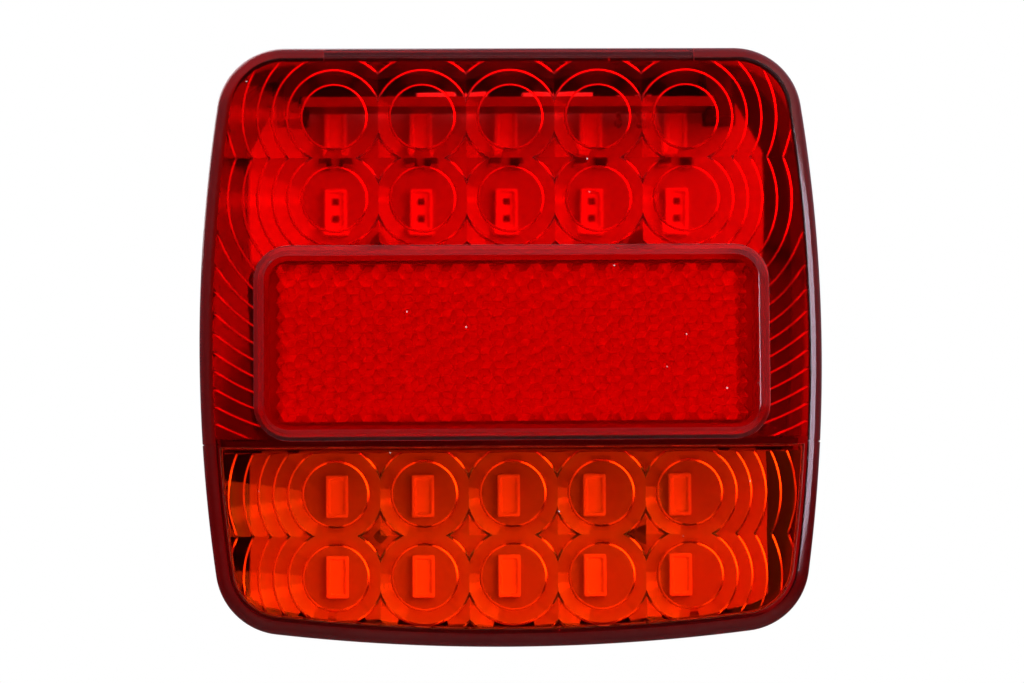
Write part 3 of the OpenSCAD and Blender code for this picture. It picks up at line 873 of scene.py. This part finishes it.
@dataclass
class Lens:
    """The red moulding and the amber insert.

    Both inserts lap the moulding by narrow_lap. The wall behind the reflector stands in by lap.
    """

    finishes: Finishes
    outline: Outline = field(default_factory=Outline)
    optics: Optics = field(default_factory=Optics)
    depth: float = 30.0
    skirt: float = 2.4
    face: float = 2.2
    seal_top: float = 3.8
    draft: float = 0.3
    edge: float = 2.8
    edge_steps: int = 10
    rim: float = 3.0
    lap: float = 1.2
    narrow_lap: float = 0.35
    rebate: float = 1.2
    web: float = 1.0
    seam: float = 0.35
    seam_depth: float = 0.25
    seam_steps: tuple[float, ...] = (0.35, 0.7, 1.0)
    seam_taper: float = 1.2
    gap: float = 0.03
    reflex_w: float = 88.1
    reflex_h: float = 33.3
    reflex_up: float = 0.5
    reflex_corner: float = 6.0
    window_w: float = 64.0
    window_flange: float = 1.5
    window_reach: float = 9.0
    insert_edge: float = 0.25
    wall_grain: float = 0.78
    steep: float = 0.3
    bar_drop: float = 1.3
    bar_w: float = 98.0

    def face_in(self) -> float:
        """Height of the inside of the lens face."""
        return self.depth - self.face

    def amber_top(self) -> float:
        """Height of the amber window's top edge."""
        return self.reflex_up - self.reflex_h / 2 - self.web

    def outside(self, name: str, inset: float) -> Solid:
        """Makes the lens's outer form with its rounded edge.

        Args:
            name: Name of the solid.
            inset: How far it is moved in.

        Returns:
            The solid.
        """
        rings = [at_height(self.outline.points(inset - self.draft), self.seal_top)]
        for i in range(self.edge_steps + 1):
            a = math.pi / 2 * i / self.edge_steps
            z = self.depth - inset - self.edge * (1 - math.sin(a))
            rings.append(at_height(self.outline.points(inset + self.edge * (1 - math.cos(a))), z))
        return Solid(name).loft(rings)

    def prism(self, name: str, inset: float, low: float, high: float) -> Solid:
        """Makes a prism of the lamp's outline."""
        points = self.outline.points(inset)
        return Solid(name).loft([at_height(points, low), at_height(points, high)])

    def reflex_prism(self, name: str, inset: float, low: float, high: float) -> Solid:
        """Makes a prism of the reflector's outline."""
        points = self.reflex_outline(inset)
        return Solid(name).loft([at_height(points, low), at_height(points, high)])

    def reflex_outline(self, inset: float) -> list[Point]:
        """The reflector's outline moved in by inset."""
        width, height = self.reflex_w - 2 * inset, self.reflex_h - 2 * inset
        return rounded(width, height, self.reflex_corner - inset, up=self.reflex_up)

    def amber_prism(self, name: str, inset: float, low: float, high: float) -> bpy.types.Object:
        """Makes a prism of the amber window.

        Args:
            name: Name of the object.
            inset: How far it is moved in.
            low: Height of its foot.
            high: Height of its top.

        Returns:
            The object.
        """
        made = self.prism(name, self.rim + inset, low, high).to_object()
        top = self.amber_top() - inset
        wide = self.outline.width
        above = Solid("above").box((-wide, top, low - 1), (wide, wide, high + 1))
        return combine(made, above, Join.CUT)

    def as_solid(self, made: bpy.types.Object) -> Solid:
        """Takes the mesh of an object back and removes the object.

        Args:
            made: The object, in bench millimetres.

        Returns:
            Its mesh as a solid.
        """
        solid = Solid(made.name)
        self.optics.gather(made, solid)
        return solid

    def build_red(self) -> None:
        """Builds the red moulding."""
        lens = self.outside("red_lens_moulding", 0.0).to_object()
        hollow = Solid("hollow").loft([
            at_height(self.outline.points(self.skirt - self.draft), self.seal_top - 1),
            at_height(self.outline.points(self.skirt), self.face_in()),
        ])
        combine(lens, hollow, Join.CUT)
        area = self.prism("area", self.skirt - self.gap, 0, self.depth).to_object()
        combine(area, self.reflex_prism("hole", self.narrow_lap / 2, -1, self.depth + 1), Join.CUT)
        top = self.reflex_up + self.reflex_h / 2 - self.narrow_lap
        bottom = self.reflex_up - self.reflex_h / 2 + self.narrow_lap
        self.optics.add_to(lens, Side.ABOVE, self.as_solid(area), (top, bottom), self.face_in())
        self.cut_openings(lens)
        self.cut_seam(lens)
        self.mark_red(lens)
        finish_piece(lens, self.finishes.red, ["lens_red"])

    def cut_openings(self, lens: bpy.types.Object) -> None:
        """Cuts the seats of both inserts and the slot of the number plate light.

        Args:
            lens: The red moulding in bench millimetres.
        """
        over, shelf = self.depth + 1, self.depth - self.rebate
        combine(lens, self.reflex_prism("through", self.narrow_lap, 0, over), Join.CUT)
        combine(lens, self.reflex_prism("seat", -self.gap, shelf, over), Join.CUT)
        hole = self.amber_prism("amber_hole", self.narrow_lap - self.gap, 5, over)
        combine(lens, self.as_solid(hole), Join.CUT)
        seat = self.amber_prism("amber_seat", -self.gap, shelf, over)
        combine(lens, self.as_solid(seat), Join.CUT)
        low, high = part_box("plate_window")
        half = self.window_w / 2
        z0, z1 = -high.y / MM + self.window_flange, -low.y / MM - self.window_flange
        y0 = self.outline.height / 2 - self.skirt - 1
        slot = Solid("slot").box((-half, y0, z0), (half, y0 + self.window_reach, z1))
        combine(lens, slot, Join.CUT)

    def cut_seam(self, lens: bpy.types.Object) -> None:
        """Cuts the shallow witness line across the face and down both sides.

        Args:
            lens: The red moulding in bench millimetres.
        """
        middle, wide = self.amber_top() + self.web / 2, self.outline.width
        for share in self.seam_steps:
            half = self.seam / 2 * (self.seam_taper - share)
            low, high = (-wide, middle - half, 0), (wide, middle + half, self.depth + 1)
            line = Solid("line").box(low, high).to_object()
            combine(line, self.outside("under_line", self.seam_depth * share), Join.CUT)
            combine(lens, self.as_solid(line), Join.CUT)

    def mark_red(self, lens: bpy.types.Object) -> None:
        """Marks the skirt's inside, the seats and the ring steps as grained.

        Args:
            lens: The red moulding in bench millimetres.
        """
        marks: list[float] = []
        for polygon in lens.data.polygons:
            place, normal = polygon.center, polygon.normal
            inwards = normal.x * place.x + normal.y * place.y < 0 and abs(normal.z) < self.steep
            seat = inwards and self.face_in() < place.z < self.depth - self.seam_depth
            below = place.z < self.face_in() - self.optics.tooth_max
            wall = inwards and below and polygon.area > 0.5
            full = seat or self.optics.is_riser(polygon, self.face_in())
            marks.append(1.0 if full else self.wall_grain if wall else 0.0)
        grain_faces(lens, marks)

    def soften(self, plate: bpy.types.Object) -> None:
        """Rounds the front edge of the amber insert.

        Args:
            plate: The insert in bench millimetres, with its face at the lens's depth.
        """
        work = bmesh.new()
        work.from_mesh(plate.data)
        top = [e for e in work.edges if all(v.co.z > self.depth - 0.01 for v in e.verts)]
        rim = [e for e in top if min(f.normal.z for f in e.link_faces) < 0.5]
        bmesh.ops.bevel(work, geom=rim, offset=self.insert_edge, segments=3, affect="EDGES")
        work.to_mesh(plate.data)
        work.free()

    def build_amber(self) -> None:
        """Builds the amber insert with a sloped bar along its top edge, on the inside."""
        shelf = self.depth - self.rebate
        plate = self.amber_prism("amber_window", 0.0, shelf, self.depth)
        self.soften(plate)
        block = self.amber_prism("block", self.narrow_lap, self.face_in(), shelf + WELD)
        combine(plate, self.as_solid(block), Join.ADD)
        area = self.as_solid(self.amber_prism("area", self.narrow_lap, 0, self.depth))
        start = self.narrow_lap - self.amber_top()
        self.optics.add_to(plate, Side.BELOW, area, (start, start), self.face_in())
        combine(plate, self.amber_bar(), Join.ADD)
        marks: list[float] = []
        for polygon in plate.data.polygons:
            upright = abs(polygon.normal.z) < UPRIGHT and polygon.center.z > self.face_in()
            marks.append(float(upright or self.optics.is_riser(polygon, self.face_in())))
        grain_faces(plate, marks)
        finish_piece(plate, self.finishes.amber, ["lens_amber"])

    def amber_bar(self) -> Solid:
        """Makes the sloped bar of the amber insert.

        Returns:
            The bar.
        """
        foot, roof = self.amber_top() - self.bar_drop, self.amber_top() - self.narrow_lap
        low, wide = foot + self.optics.riser_draft, self.bar_w / 2
        narrow = [(-wide, low), (wide, low), (wide, roof), (-wide, roof)]
        broad = [(-wide, foot), (wide, foot), (wide, roof), (-wide, roof)]
        back = self.face_in() - self.optics.tooth_max
        return Solid("bar").loft([at_height(narrow, back), at_height(broad, self.face_in() + WELD)])


@dataclass
class Reflex:
    """The raised reflector with cube corners on its back."""

    finishes: Finishes
    lens: Lens
    rise: float = 1.5
    slope: float = 1.85
    cube: float = 2.56
    margin: float = 0.5
    wall: float = 1.4
    round_steps: int = 5
    edge: float = 0.5
    cube_normals: Point = (-0.75, -0.4)
    shade_normal: float = 0.5

    def build(self) -> None:
        """Builds the reflector panel."""
        lens = self.lens
        shelf, top = lens.depth - lens.rebate, lens.depth + self.rise
        lean = math.atan2(self.rise, self.slope)
        whole = lens.reflex_outline(0)
        rings = [at_height(whole, shelf), at_height(whole, lens.depth)]
        back = self.edge * math.tan(lean / 2)
        for i in range(self.round_steps + 1):
            a = lean * (1 - i / self.round_steps)
            inset = self.slope + back - self.edge * math.sin(a)
            rings.append(at_height(lens.reflex_outline(inset), top - self.edge * (1 - math.cos(a))))
        panel = Solid("reflex_reflector").loft(rings).to_object()
        wall = lens.reflex_prism("wall", lens.lap, self.wall_foot(), shelf + WELD).to_object()
        combine(wall, lens.reflex_prism("well", lens.lap + self.wall, 0, shelf), Join.CUT)
        combine(panel, lens.as_solid(wall), Join.ADD)
        combine(panel, self.cubes(shelf), Join.ADD)
        self.dress(panel, shelf)
        finish_piece(panel, self.finishes.clear_red, ["reflex_panel"], sharp=20.0)

    def dress(self, panel: bpy.types.Object, shelf: float) -> None:
        """Gives the cubes and the wall behind the panel's plate their frosted finishes, with a
        darker copy as painted shade on the cube faces that lean right.

        Args:
            panel: The panel in bench millimetres.
            shelf: Height of the back of the panel's plate.
        """
        f = self.finishes
        panel.data.materials.clear()
        for material in (f.clear_red, f.prisms, f.dull_prisms):
            panel.data.materials.append(material)
        low, high = self.cube_normals
        marks: list[float] = []
        for polygon in panel.data.polygons:
            behind = polygon.center.z < shelf
            slanted = behind and low < polygon.normal.z < high
            # Painted shade: cube faces that lean right get a darker copy of the frosted finish.
            shaded_face = slanted and polygon.normal.x > self.shade_normal
            upright = abs(polygon.normal.z) < UPRIGHT
            polygon.material_index = 2 if shaded_face else int(slanted or (upright and behind))
            marks.append(float(upright))
        grain_faces(panel, marks)

    def wall_foot(self) -> float:
        """Height of the foot of the wall, where the backing plate starts."""
        low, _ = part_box("reflex_backing")
        return -low.y / MM

    def cubes(self, shelf: float) -> Solid:
        """Makes the field of cube corners as one closed solid.

        Args:
            shelf: Height of the back of the panel's plate.

        Returns:
            The solid: a triangular grid whose points lie 0, 1 or 2 thirds up a cube's diagonal.
        """
        lens = self.lens
        r = self.cube / math.sqrt(3)
        diagonal = r * math.sqrt(1.5) * math.sqrt(3)
        inset = lens.lap + self.wall + self.margin
        across = math.floor((lens.reflex_w - 2 * inset - r) / r)
        up = math.floor((lens.reflex_h - 2 * inset) / (self.cube / 2))
        left, bottom = -(across + 0.5) * r / 2, lens.reflex_up - up * self.cube / 4
        tip = shelf - WELD - diagonal * 2 / 3
        row = across + 1
        solid = Solid("cube_corners")
        for j in range(up + 1):
            for i in range(row):
                third = (i - j // 2 + 2 * j) % 3
                x, y = left + (i + (j % 2) / 2) * r, bottom + j * self.cube / 2
                solid.verts.append(Vector((x, y, tip + third * diagonal / 3)))
        for j in range(up):
            for i in range(across):
                a = j * row + i
                b, c, d = a + 1, a + row, a + row + 1
                solid.faces += [[a, c, b], [b, c, d]] if j % 2 == 0 else [[a, d, b], [a, c, d]]
        self.close(solid, across, up, shelf + WELD)
        return solid

    def close(self, solid: Solid, across: int, up: int, top: float) -> None:
        """Closes the grid of cube corners with a skirt and a flat top.

        Args:
            solid: The grid, row by row from the bottom.
            across: Cells in a row.
            up: Rows of cells.
            top: Height of the flat top.
        """
        row, total = across + 1, len(solid.verts)
        edge = list(range(across)) + [j * row + across for j in range(up)]
        edge += [up * row + i for i in range(across, 0, -1)] + [j * row for j in range(up, 0, -1)]
        n = len(edge)
        for k in edge:
            x, y, _ = solid.verts[k]
            solid.verts.append(Vector((x, y, top)))
        for k in range(n):
            m = (k + 1) % n
            solid.faces.append([edge[k], edge[m], total + m, total + k])
        solid.faces.append([total + k for k in range(n)])


@dataclass
class PlateBoard:
    """The number plate light's board, with a dark underside of painted shade."""

    finishes: Finishes
    edge: float = 0.15
    copper: float = 0.05
    sunk: float = 0.2
    track_w: float = 0.8
    track_end: float = 4.0
    track_back: float = 1.5
    track_front: float = 2.3

    def build(self) -> None:
        """Builds the board with its copper tracks."""
        low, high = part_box("plate_board")
        x0, x1, y0, y1 = low.x / MM, high.x / MM, low.z / MM, high.z / MM
        z0, z1 = -high.y / MM, -low.y / MM
        e, end = self.edge, self.track_end
        solid = Solid("plate_board_dressed")
        flat = [(x0, y0 + e), (x0 + e, y0), (x1 - e, y0), (x1, y0 + e), (x1, y1 - e), (x1 - e, y1)]
        flat += [(x0 + e, y1), (x0, y1 - e)]
        solid.loft([at_height(flat, z0), at_height(flat, z1)])
        body_faces = len(solid.faces)
        for z in (z0 + self.track_back, z1 - self.track_front):
            solid.box((x0 + end, y1 - self.sunk, z), (x1 - end, y1 + self.copper, z + self.track_w))
        made = solid.to_object()
        f = self.finishes
        for material in (f.board, f.solder_side, f.tin, f.cut_edge):
            made.data.materials.append(material)
        for polygon in made.data.polygons:
            # Painted shade: faces turned down get the dark underside finish.
            under, front = polygon.normal.y < -0.9, polygon.normal.z > 0.9
            track = polygon.index >= body_faces
            polygon.material_index = 2 if track else 3 if front else int(under)
        finish_piece(made, self.finishes.board, ["plate_board"])


@dataclass
class Diodes:
    """The light-emitting diodes of all three lights."""

    finishes: Finishes
    counts: tuple[tuple[str, int], ...] = (("red", 10), ("amber", 10), ("plate", 4))
    open_ones: tuple[str, ...] = ("led_red_1", "led_red_2", "led_red_3", "led_red_4", "led_red_5")
    corner: float = 0.25
    well_corner: float = 0.3
    break_edge: float = 0.06
    wall: float = 0.35
    taper: float = 0.5
    cup: float = 0.45
    chip: float = 0.9
    chip_low: float = 0.05
    chip_high: float = 0.12
    lead_w: float = 0.4
    lead_out: float = 0.04
    lead_in: float = 0.5
    lead_h: float = 0.18

    def build(self) -> None:
        """Builds every diode in the place of its solid."""
        for kind, count in self.counts:
            for number in range(1, count + 1):
                self.one(f"led_{kind}_{number}", kind == "plate")

    def package(self, name: str, wide: float, long: float, tall: float) -> Solid:
        """Makes the package with its tapered well.

        Args:
            name: Name of the solid.
            wide: Width along X.
            long: Length along Y.
            tall: Height.

        Returns:
            The package, standing on its back.
        """
        edge, well = 2 * self.break_edge, 2 * self.wall
        sections = (
            (wide, long, self.corner, 0.0),
            (wide, long, self.corner, tall - self.break_edge),
            (wide - edge, long - edge, self.corner, tall),
            (wide - well, long - well, self.well_corner, tall),
            (wide - well - self.taper, long - well - self.taper, self.well_corner, tall - self.cup),
        )
        return Solid(name).loft([at_height(rounded(a, b, c, 4), z) for a, b, c, z in sections])

    def one(self, node: str, upwards: bool) -> None:
        """Builds one diode.

        Args:
            node: The solid that it stands for.
            upwards: Whether it looks up through the top wall.
        """
        low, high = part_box(node)
        centre, size = (low + high) / 2 / MM, (high - low) / MM
        long, wide = (size.x, size.y) if upwards else (size.z, size.x)
        tall = size.z if upwards else size.y
        solid = self.package(node + "_dressed", wide, long, tall)
        body_faces = len(solid.faces)
        half, floor = self.chip / 2, tall - self.cup
        bottom, top = floor - self.chip_low, floor + self.chip_high
        for y in (-long / 5, long / 5) if node in self.open_ones else ():
            solid.box((-half, y - half, bottom), (half, y + half, top))
        chip_faces = len(solid.faces)
        side = wide / 2 - self.lead_w
        for y in (-long / 2, long / 2 - self.lead_in):
            start, end = y - self.lead_out, y + self.lead_in + self.lead_out
            solid.box((-side, start, 0.0), (side, end, self.lead_h))
        made = solid.to_object()
        for material in (self.finishes.package, self.finishes.chip, self.finishes.tin):
            made.data.materials.append(material)
        for polygon in made.data.polygons:
            i = polygon.index
            polygon.material_index = 0 if i < body_faces else 1 if i < chip_faces else 2
        place = Matrix.Translation((centre.x, centre.z, -centre.y - tall / 2))
        if upwards:
            back = Matrix.Rotation(-math.pi / 2, 4, "X") @ Matrix.Rotation(math.pi / 2, 4, "Z")
            place = Matrix.Translation((centre.x, centre.z - tall / 2, -centre.y)) @ back
        made.data.transform(place)
        finish_piece(made, self.finishes.package, [node])


@dataclass
class Resistors:
    """Chip resistors between the rows of diodes."""

    finishes: Finishes
    columns: int = 5
    col_pitch: float = 15.1
    gap: float = 2.7
    length: float = 3.2
    width: float = 1.6
    thick: float = 0.55
    cap: float = 0.45
    body_in: float = 0.1
    body_up: float = 0.04
    body_down: float = 0.05
    cap_over: float = 0.03

    def build(self) -> None:
        """Builds both rows."""
        half = (self.columns - 1) // 2
        for node in ("resistors_red", "resistors_amber"):
            low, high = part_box(node)
            y, z = (low.z + high.z) / 2 / MM, -high.y / MM
            spots = [
                (col * self.col_pitch + side * self.gap / 2, y)
                for col in range(-half, half + 1)
                for side in (-1, 1)
            ]
            self.row(node, spots, z)

    def row(self, node: str, spots: list[Point], z: float) -> None:
        """Builds one row.

        Args:
            node: The solid that it stands for.
            spots: Where the resistors' middles lie.
            z: Height of the board's face.
        """
        solid = Solid(node + "_dressed")
        wide, long = self.width / 2, self.length / 2 - self.body_in
        bottom, top = z + self.body_up, z + self.thick - self.body_down
        for x, y in spots:
            solid.box((x - wide, y - long, bottom), (x + wide, y + long, top))
        body_faces = len(solid.faces)
        wide, long = self.width / 2 + self.cap_over, self.length / 2
        for x, y in spots:
            for end in (-1, 1):
                a, b = sorted((y + end * long, y + end * (long - self.cap)))
                solid.box((x - wide, a, z), (x + wide, b, z + self.thick))
        made = solid.to_object()
        for material in (self.finishes.component, self.finishes.tin):
            made.data.materials.append(material)
        for polygon in made.data.polygons:
            polygon.material_index = int(polygon.index >= body_faces)
        finish_piece(made, self.finishes.component, [node])


@dataclass
class Studs:
    """The two mounting studs with their threads."""

    finishes: Finishes
    pitch: float = 45.0
    major: float = 3.0
    lead: float = 1.0
    depth: float = 0.32
    flank: float = 1.4
    flat: float = 0.15
    length: float = 18.0
    chamfer: float = 0.5
    neck: float = 3.5
    flats: float = 10.0
    head: float = 4.0
    head_edge: float = 0.4
    head_inset: float = 0.5
    sink: float = 0.001
    segments: int = 48
    per_turn: int = 12

    def radius(self, z: float, turned: float) -> float:
        """Radius of the thread.

        Args:
            z: Height, 0 at the neck.
            turned: Share of a turn round the axis.

        Returns:
            The radius, smaller at the end's chamfer.
        """
        wave = abs(((z / self.lead + turned) % 1.0) * 2 - 1)
        thread = self.major - self.depth * min(1.0, max(0.0, wave * self.flank - self.flat))
        return min(thread, self.major - self.chamfer + (z + self.length))

    def shank(self, x: float, head_low: float, head_high: float) -> Solid:
        """Makes one stud, threaded below its neck.

        Args:
            x: Where it stands.
            head_low: Height of the foot of its head.
            head_high: Height of the top of its head.

        Returns:
            The stud.
        """
        turns = [s / self.segments for s in range(self.segments)]
        rings: list[Ring] = []
        rows = int(self.length * self.per_turn / self.lead)
        for i in range(rows + 1):
            z = -self.length + self.length * i / rows
            ring: Ring = []
            for turned in turns:
                a, r = 2 * math.pi * turned, self.radius(z, turned)
                ring.append(Vector((x + r * math.cos(a), r * math.sin(a), z - self.sink)))
            rings.append(ring)
        neck = arc((x, 0.0), self.neck, 0, 360, self.segments)
        rings += [at_height(neck, 0.0), at_height(neck, head_low)]
        solid = Solid("stud").loft(rings)
        corner, brow = self.flats / 2 / math.cos(math.pi / 6), head_high - self.head_edge
        for inset, low, high in ((0.0, head_low, brow), (self.head_inset, brow, head_high)):
            wide = arc((x, 0.0), corner, 0, 360, 6)
            narrow = arc((x, 0.0), corner - inset, 0, 360, 6)
            solid.loft([at_height(wide, low), at_height(narrow, high)])
        return solid

    def build(self) -> None:
        """Builds both studs as one piece."""
        low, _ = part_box("mounting_studs")
        head_high = -low.y / MM
        head_low = head_high - self.head
        both = self.shank(-self.pitch / 2, head_low, head_high)
        other = self.shank(self.pitch / 2, head_low, head_high)
        base = len(both.verts)
        both.verts += other.verts
        both.faces += [[base + i for i in face] for face in other.faces]
        both.name = "threaded_studs"
        finish_piece(both.to_object(), self.finishes.zinc, ["mounting_studs"])


@dataclass
class Carried:
    """Solids of the frame that keep their shape and get a finish."""

    finishes: Finishes
    nodes: dict[str, bpy.types.Object]

    def build(self) -> None:
        """Dresses each of these solids."""
        f = self.finishes
        looks = {
            "housing": f.housing, "lens_seal": f.sealant, "reflex_backing": f.white,
            "plate_window": f.clear, "main_board": f.main_board,
            "light_divider": f.housing, "cable_grommet": f.rubber, "board_screws": f.dark_steel,
            "link_pins": f.tin, "supply_diodes": f.component, "resistor_plate": f.component,
        }
        for name, material in looks.items():
            node = self.nodes[name]
            node.data.materials.clear()
            node.data.materials.append(material)
            LOG.info("%s: finish %s", name, material.name)


@dataclass(frozen=True)
class SoftLamp:
    """One soft rectangular lamp of the studio, sizes in metres and power in watts."""

    name: str
    where: tuple[float, float, float]
    size: Point
    power: float
    highlight: bool = False
    behind: bool = False

    def build(self, aim: Vector, tint: Colour) -> None:
        """Adds the lamp.

        A lamp with a highlight is mirrored in the plastic, the others only light it. One that
        stands behind is mirrored too, and isn't seen through the plastic.

        Args:
            aim: The point that it faces.
            tint: Colour of a lamp with a highlight.
        """
        data = bpy.data.lights.new(self.name, "AREA")
        data.shape = "RECTANGLE"
        data.size, data.size_y = self.size
        data.energy = self.power
        if self.highlight:
            data.color = tint
        made = bpy.data.objects.new(self.name, data)
        made.location = self.where
        made.rotation_euler = (aim - Vector(self.where)).to_track_quat("-Z", "Y").to_euler()
        made.visible_glossy = self.highlight or self.behind
        made.visible_transmission = not self.behind
        made.visible_camera = False
        bpy.context.scene.collection.objects.link(made)


@dataclass
class Studio:
    """Floor, backdrop, lamps and camera.

    The room's strength is worked out from where a ray goes: each pair gives the strength at both
    ends of a span of one direction, and the span stands beside it.
    """

    lamps: tuple[SoftLamp, ...] = (
        SoftLamp("key", (0.78, -0.62, 0.50), (0.8, 0.9), 18.5),
        SoftLamp("strip", (0.82, -0.64, 0.05), (0.7, 0.32), 5.6, highlight=True),
        SoftLamp("fill", (-0.75, -0.68, 0.0), (0.7, 1.1), 3.6),
        SoftLamp("top", (-0.10, -0.75, 0.85), (1.7, 0.55), 7.5),
        SoftLamp("low", (0.0, -0.56, -0.60), (1.5, 0.4), 4.2),
        SoftLamp("back", (-0.5, 0.9, 0.6), (1.0, 1.0), 4.0, behind=True),
    )
    lamp_aim: tuple[float, float, float] = (0.0, -0.015, 0.0)
    tint: Colour = (0.88, 0.82, 1.0)
    front: tuple[Point, Point] = ((0.018, 1.0), (-0.86, -0.5))
    across: tuple[Point, Point] = ((0.22, 0.36), (-0.5, 0.7))
    upwards: tuple[Point, Point] = ((0.02, 1.3), (-0.4, 0.6))
    sweep: tuple[Point, Point] = ((0.0, 0.35), (0.0, 0.6))
    camera_left: float = 23.5
    camera_down: float = 36.0
    distance: float = 580.0
    pixels_per_mm: float = 5.88
    face: float = -30.0
    aim_x: float = -0.05
    aim_z: float = 0.6
    roll: float = 0.45
    sensor: float = 36.0
    clip: float = 0.01
    floor_z: float = -0.75
    floor_reach: float = 15.0
    floor_pale: Colour = (0.8, 0.8, 0.8)
    floor_dim: Colour = (0.12, 0.12, 0.12)
    floor_glow: float = 0.85

    def build(self) -> None:
        """Builds the whole studio."""
        self.world()
        self.floor()
        for lamp in self.lamps:
            lamp.build(Vector(self.lamp_aim), self.tint)
        self.camera()
        bpy.context.scene.view_settings.view_transform = "Standard"

    def world(self) -> None:
        """Lays out a white backdrop, a dim room in front and a sweep for rays through the lens."""
        world = bpy.data.worlds.new("studio")
        bpy.context.scene.world = world
        graph = Graph(world, "ShaderNodeOutputWorld")
        place = graph.nodes.new("ShaderNodeTexCoord").outputs["Generated"]
        split = graph.add("ShaderNodeSeparateXYZ", Vector=place).outputs
        path = graph.nodes.new("ShaderNodeLightPath").outputs
        front = graph.ramp(split["Y"], *self.front, smooth=True)
        across = graph.ramp(split["X"], *self.across, smooth=True)
        upwards = graph.ramp(split["Z"], *self.upwards, smooth=True)
        behind = graph.ramp(split["Y"], *self.sweep, smooth=True)
        sweep = graph.math("MULTIPLY", behind, path["Is Transmission Ray"])
        level = graph.math("MULTIPLY_ADD", graph.math("MULTIPLY", front, across), upwards, sweep)
        room = graph.add("ShaderNodeBackground", Color=(*self.tint, 1), Strength=level)
        white = graph.add("ShaderNodeBackground", Color=WHITE, Strength=1.0)
        graph.show(graph.blend(path["Is Camera Ray"], room, white))

    def floor(self) -> None:
        """Lays a pale floor that keeps the lamp's soft shadow."""
        mesh = bpy.data.meshes.new("floor")
        reach = self.floor_reach
        corners = [(-reach, -reach), (reach, -reach), (reach, reach), (-reach, reach)]
        mesh.from_pydata([(x, y, self.floor_z) for x, y in corners], [], [[0, 1, 2, 3]])
        made = bpy.data.objects.new("floor", mesh)
        bpy.context.scene.collection.objects.link(made)
        graph = Graph.of_material("pale_floor")
        matt = graph.add("ShaderNodeBsdfDiffuse", Color=(*self.floor_pale, 1))
        glow = graph.add("ShaderNodeEmission", Strength=1.0)
        dim = graph.add("ShaderNodeBsdfDiffuse", Color=(*self.floor_dim, 1))
        camera = graph.nodes.new("ShaderNodeLightPath").outputs["Is Camera Ray"]
        pale = graph.blend(self.floor_glow, matt, glow)
        mesh.materials.append(graph.show(graph.blend(camera, dim, pale)))

    def camera(self) -> None:
        """Sets up the photograph's view."""
        data = bpy.data.cameras.new("camera")
        data.sensor_width = self.sensor
        data.lens = self.pixels_per_mm * self.distance * self.sensor / IMAGE_WIDTH
        data.clip_start = self.clip
        made = bpy.data.objects.new("camera", data)
        where = Vector((-self.camera_left, self.face - self.distance, -self.camera_down)) * MM
        aim = Vector((self.aim_x, self.face, self.aim_z)) * MM
        look = (aim - where).to_track_quat("-Z", "Y").to_matrix().to_4x4()
        roll = Matrix.Rotation(math.radians(-self.roll), 4, "Z")
        made.matrix_world = Matrix.Translation(where) @ look @ roll
        bpy.context.scene.collection.objects.link(made)
        bpy.context.scene.camera = made


def clear_scene() -> None:
    """Removes the objects that a new file starts with."""
    for made in list(bpy.data.objects):
        bpy.data.objects.remove(made)


def main(nodes: dict[str, bpy.types.Object]) -> None:
    """Builds the lamp piece by piece.

    Args:
        nodes: The frame's solids by name.
    """
    logging.basicConfig(level=logging.INFO, format="%(message)s")
    finishes = Finishes()
    Studio().build()
    Carried(finishes, nodes).build()
    lens = Lens(finishes)
    lens.build_red()
    lens.build_amber()
    Reflex(finishes, lens).build()
    PlateBoard(finishes).build()
    Diodes(finishes).build()
    Resistors(finishes).build()
    Studs(finishes).build()


if __name__ == "__main__":
    clear_scene()
    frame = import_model()
    main(frame["nodes"])
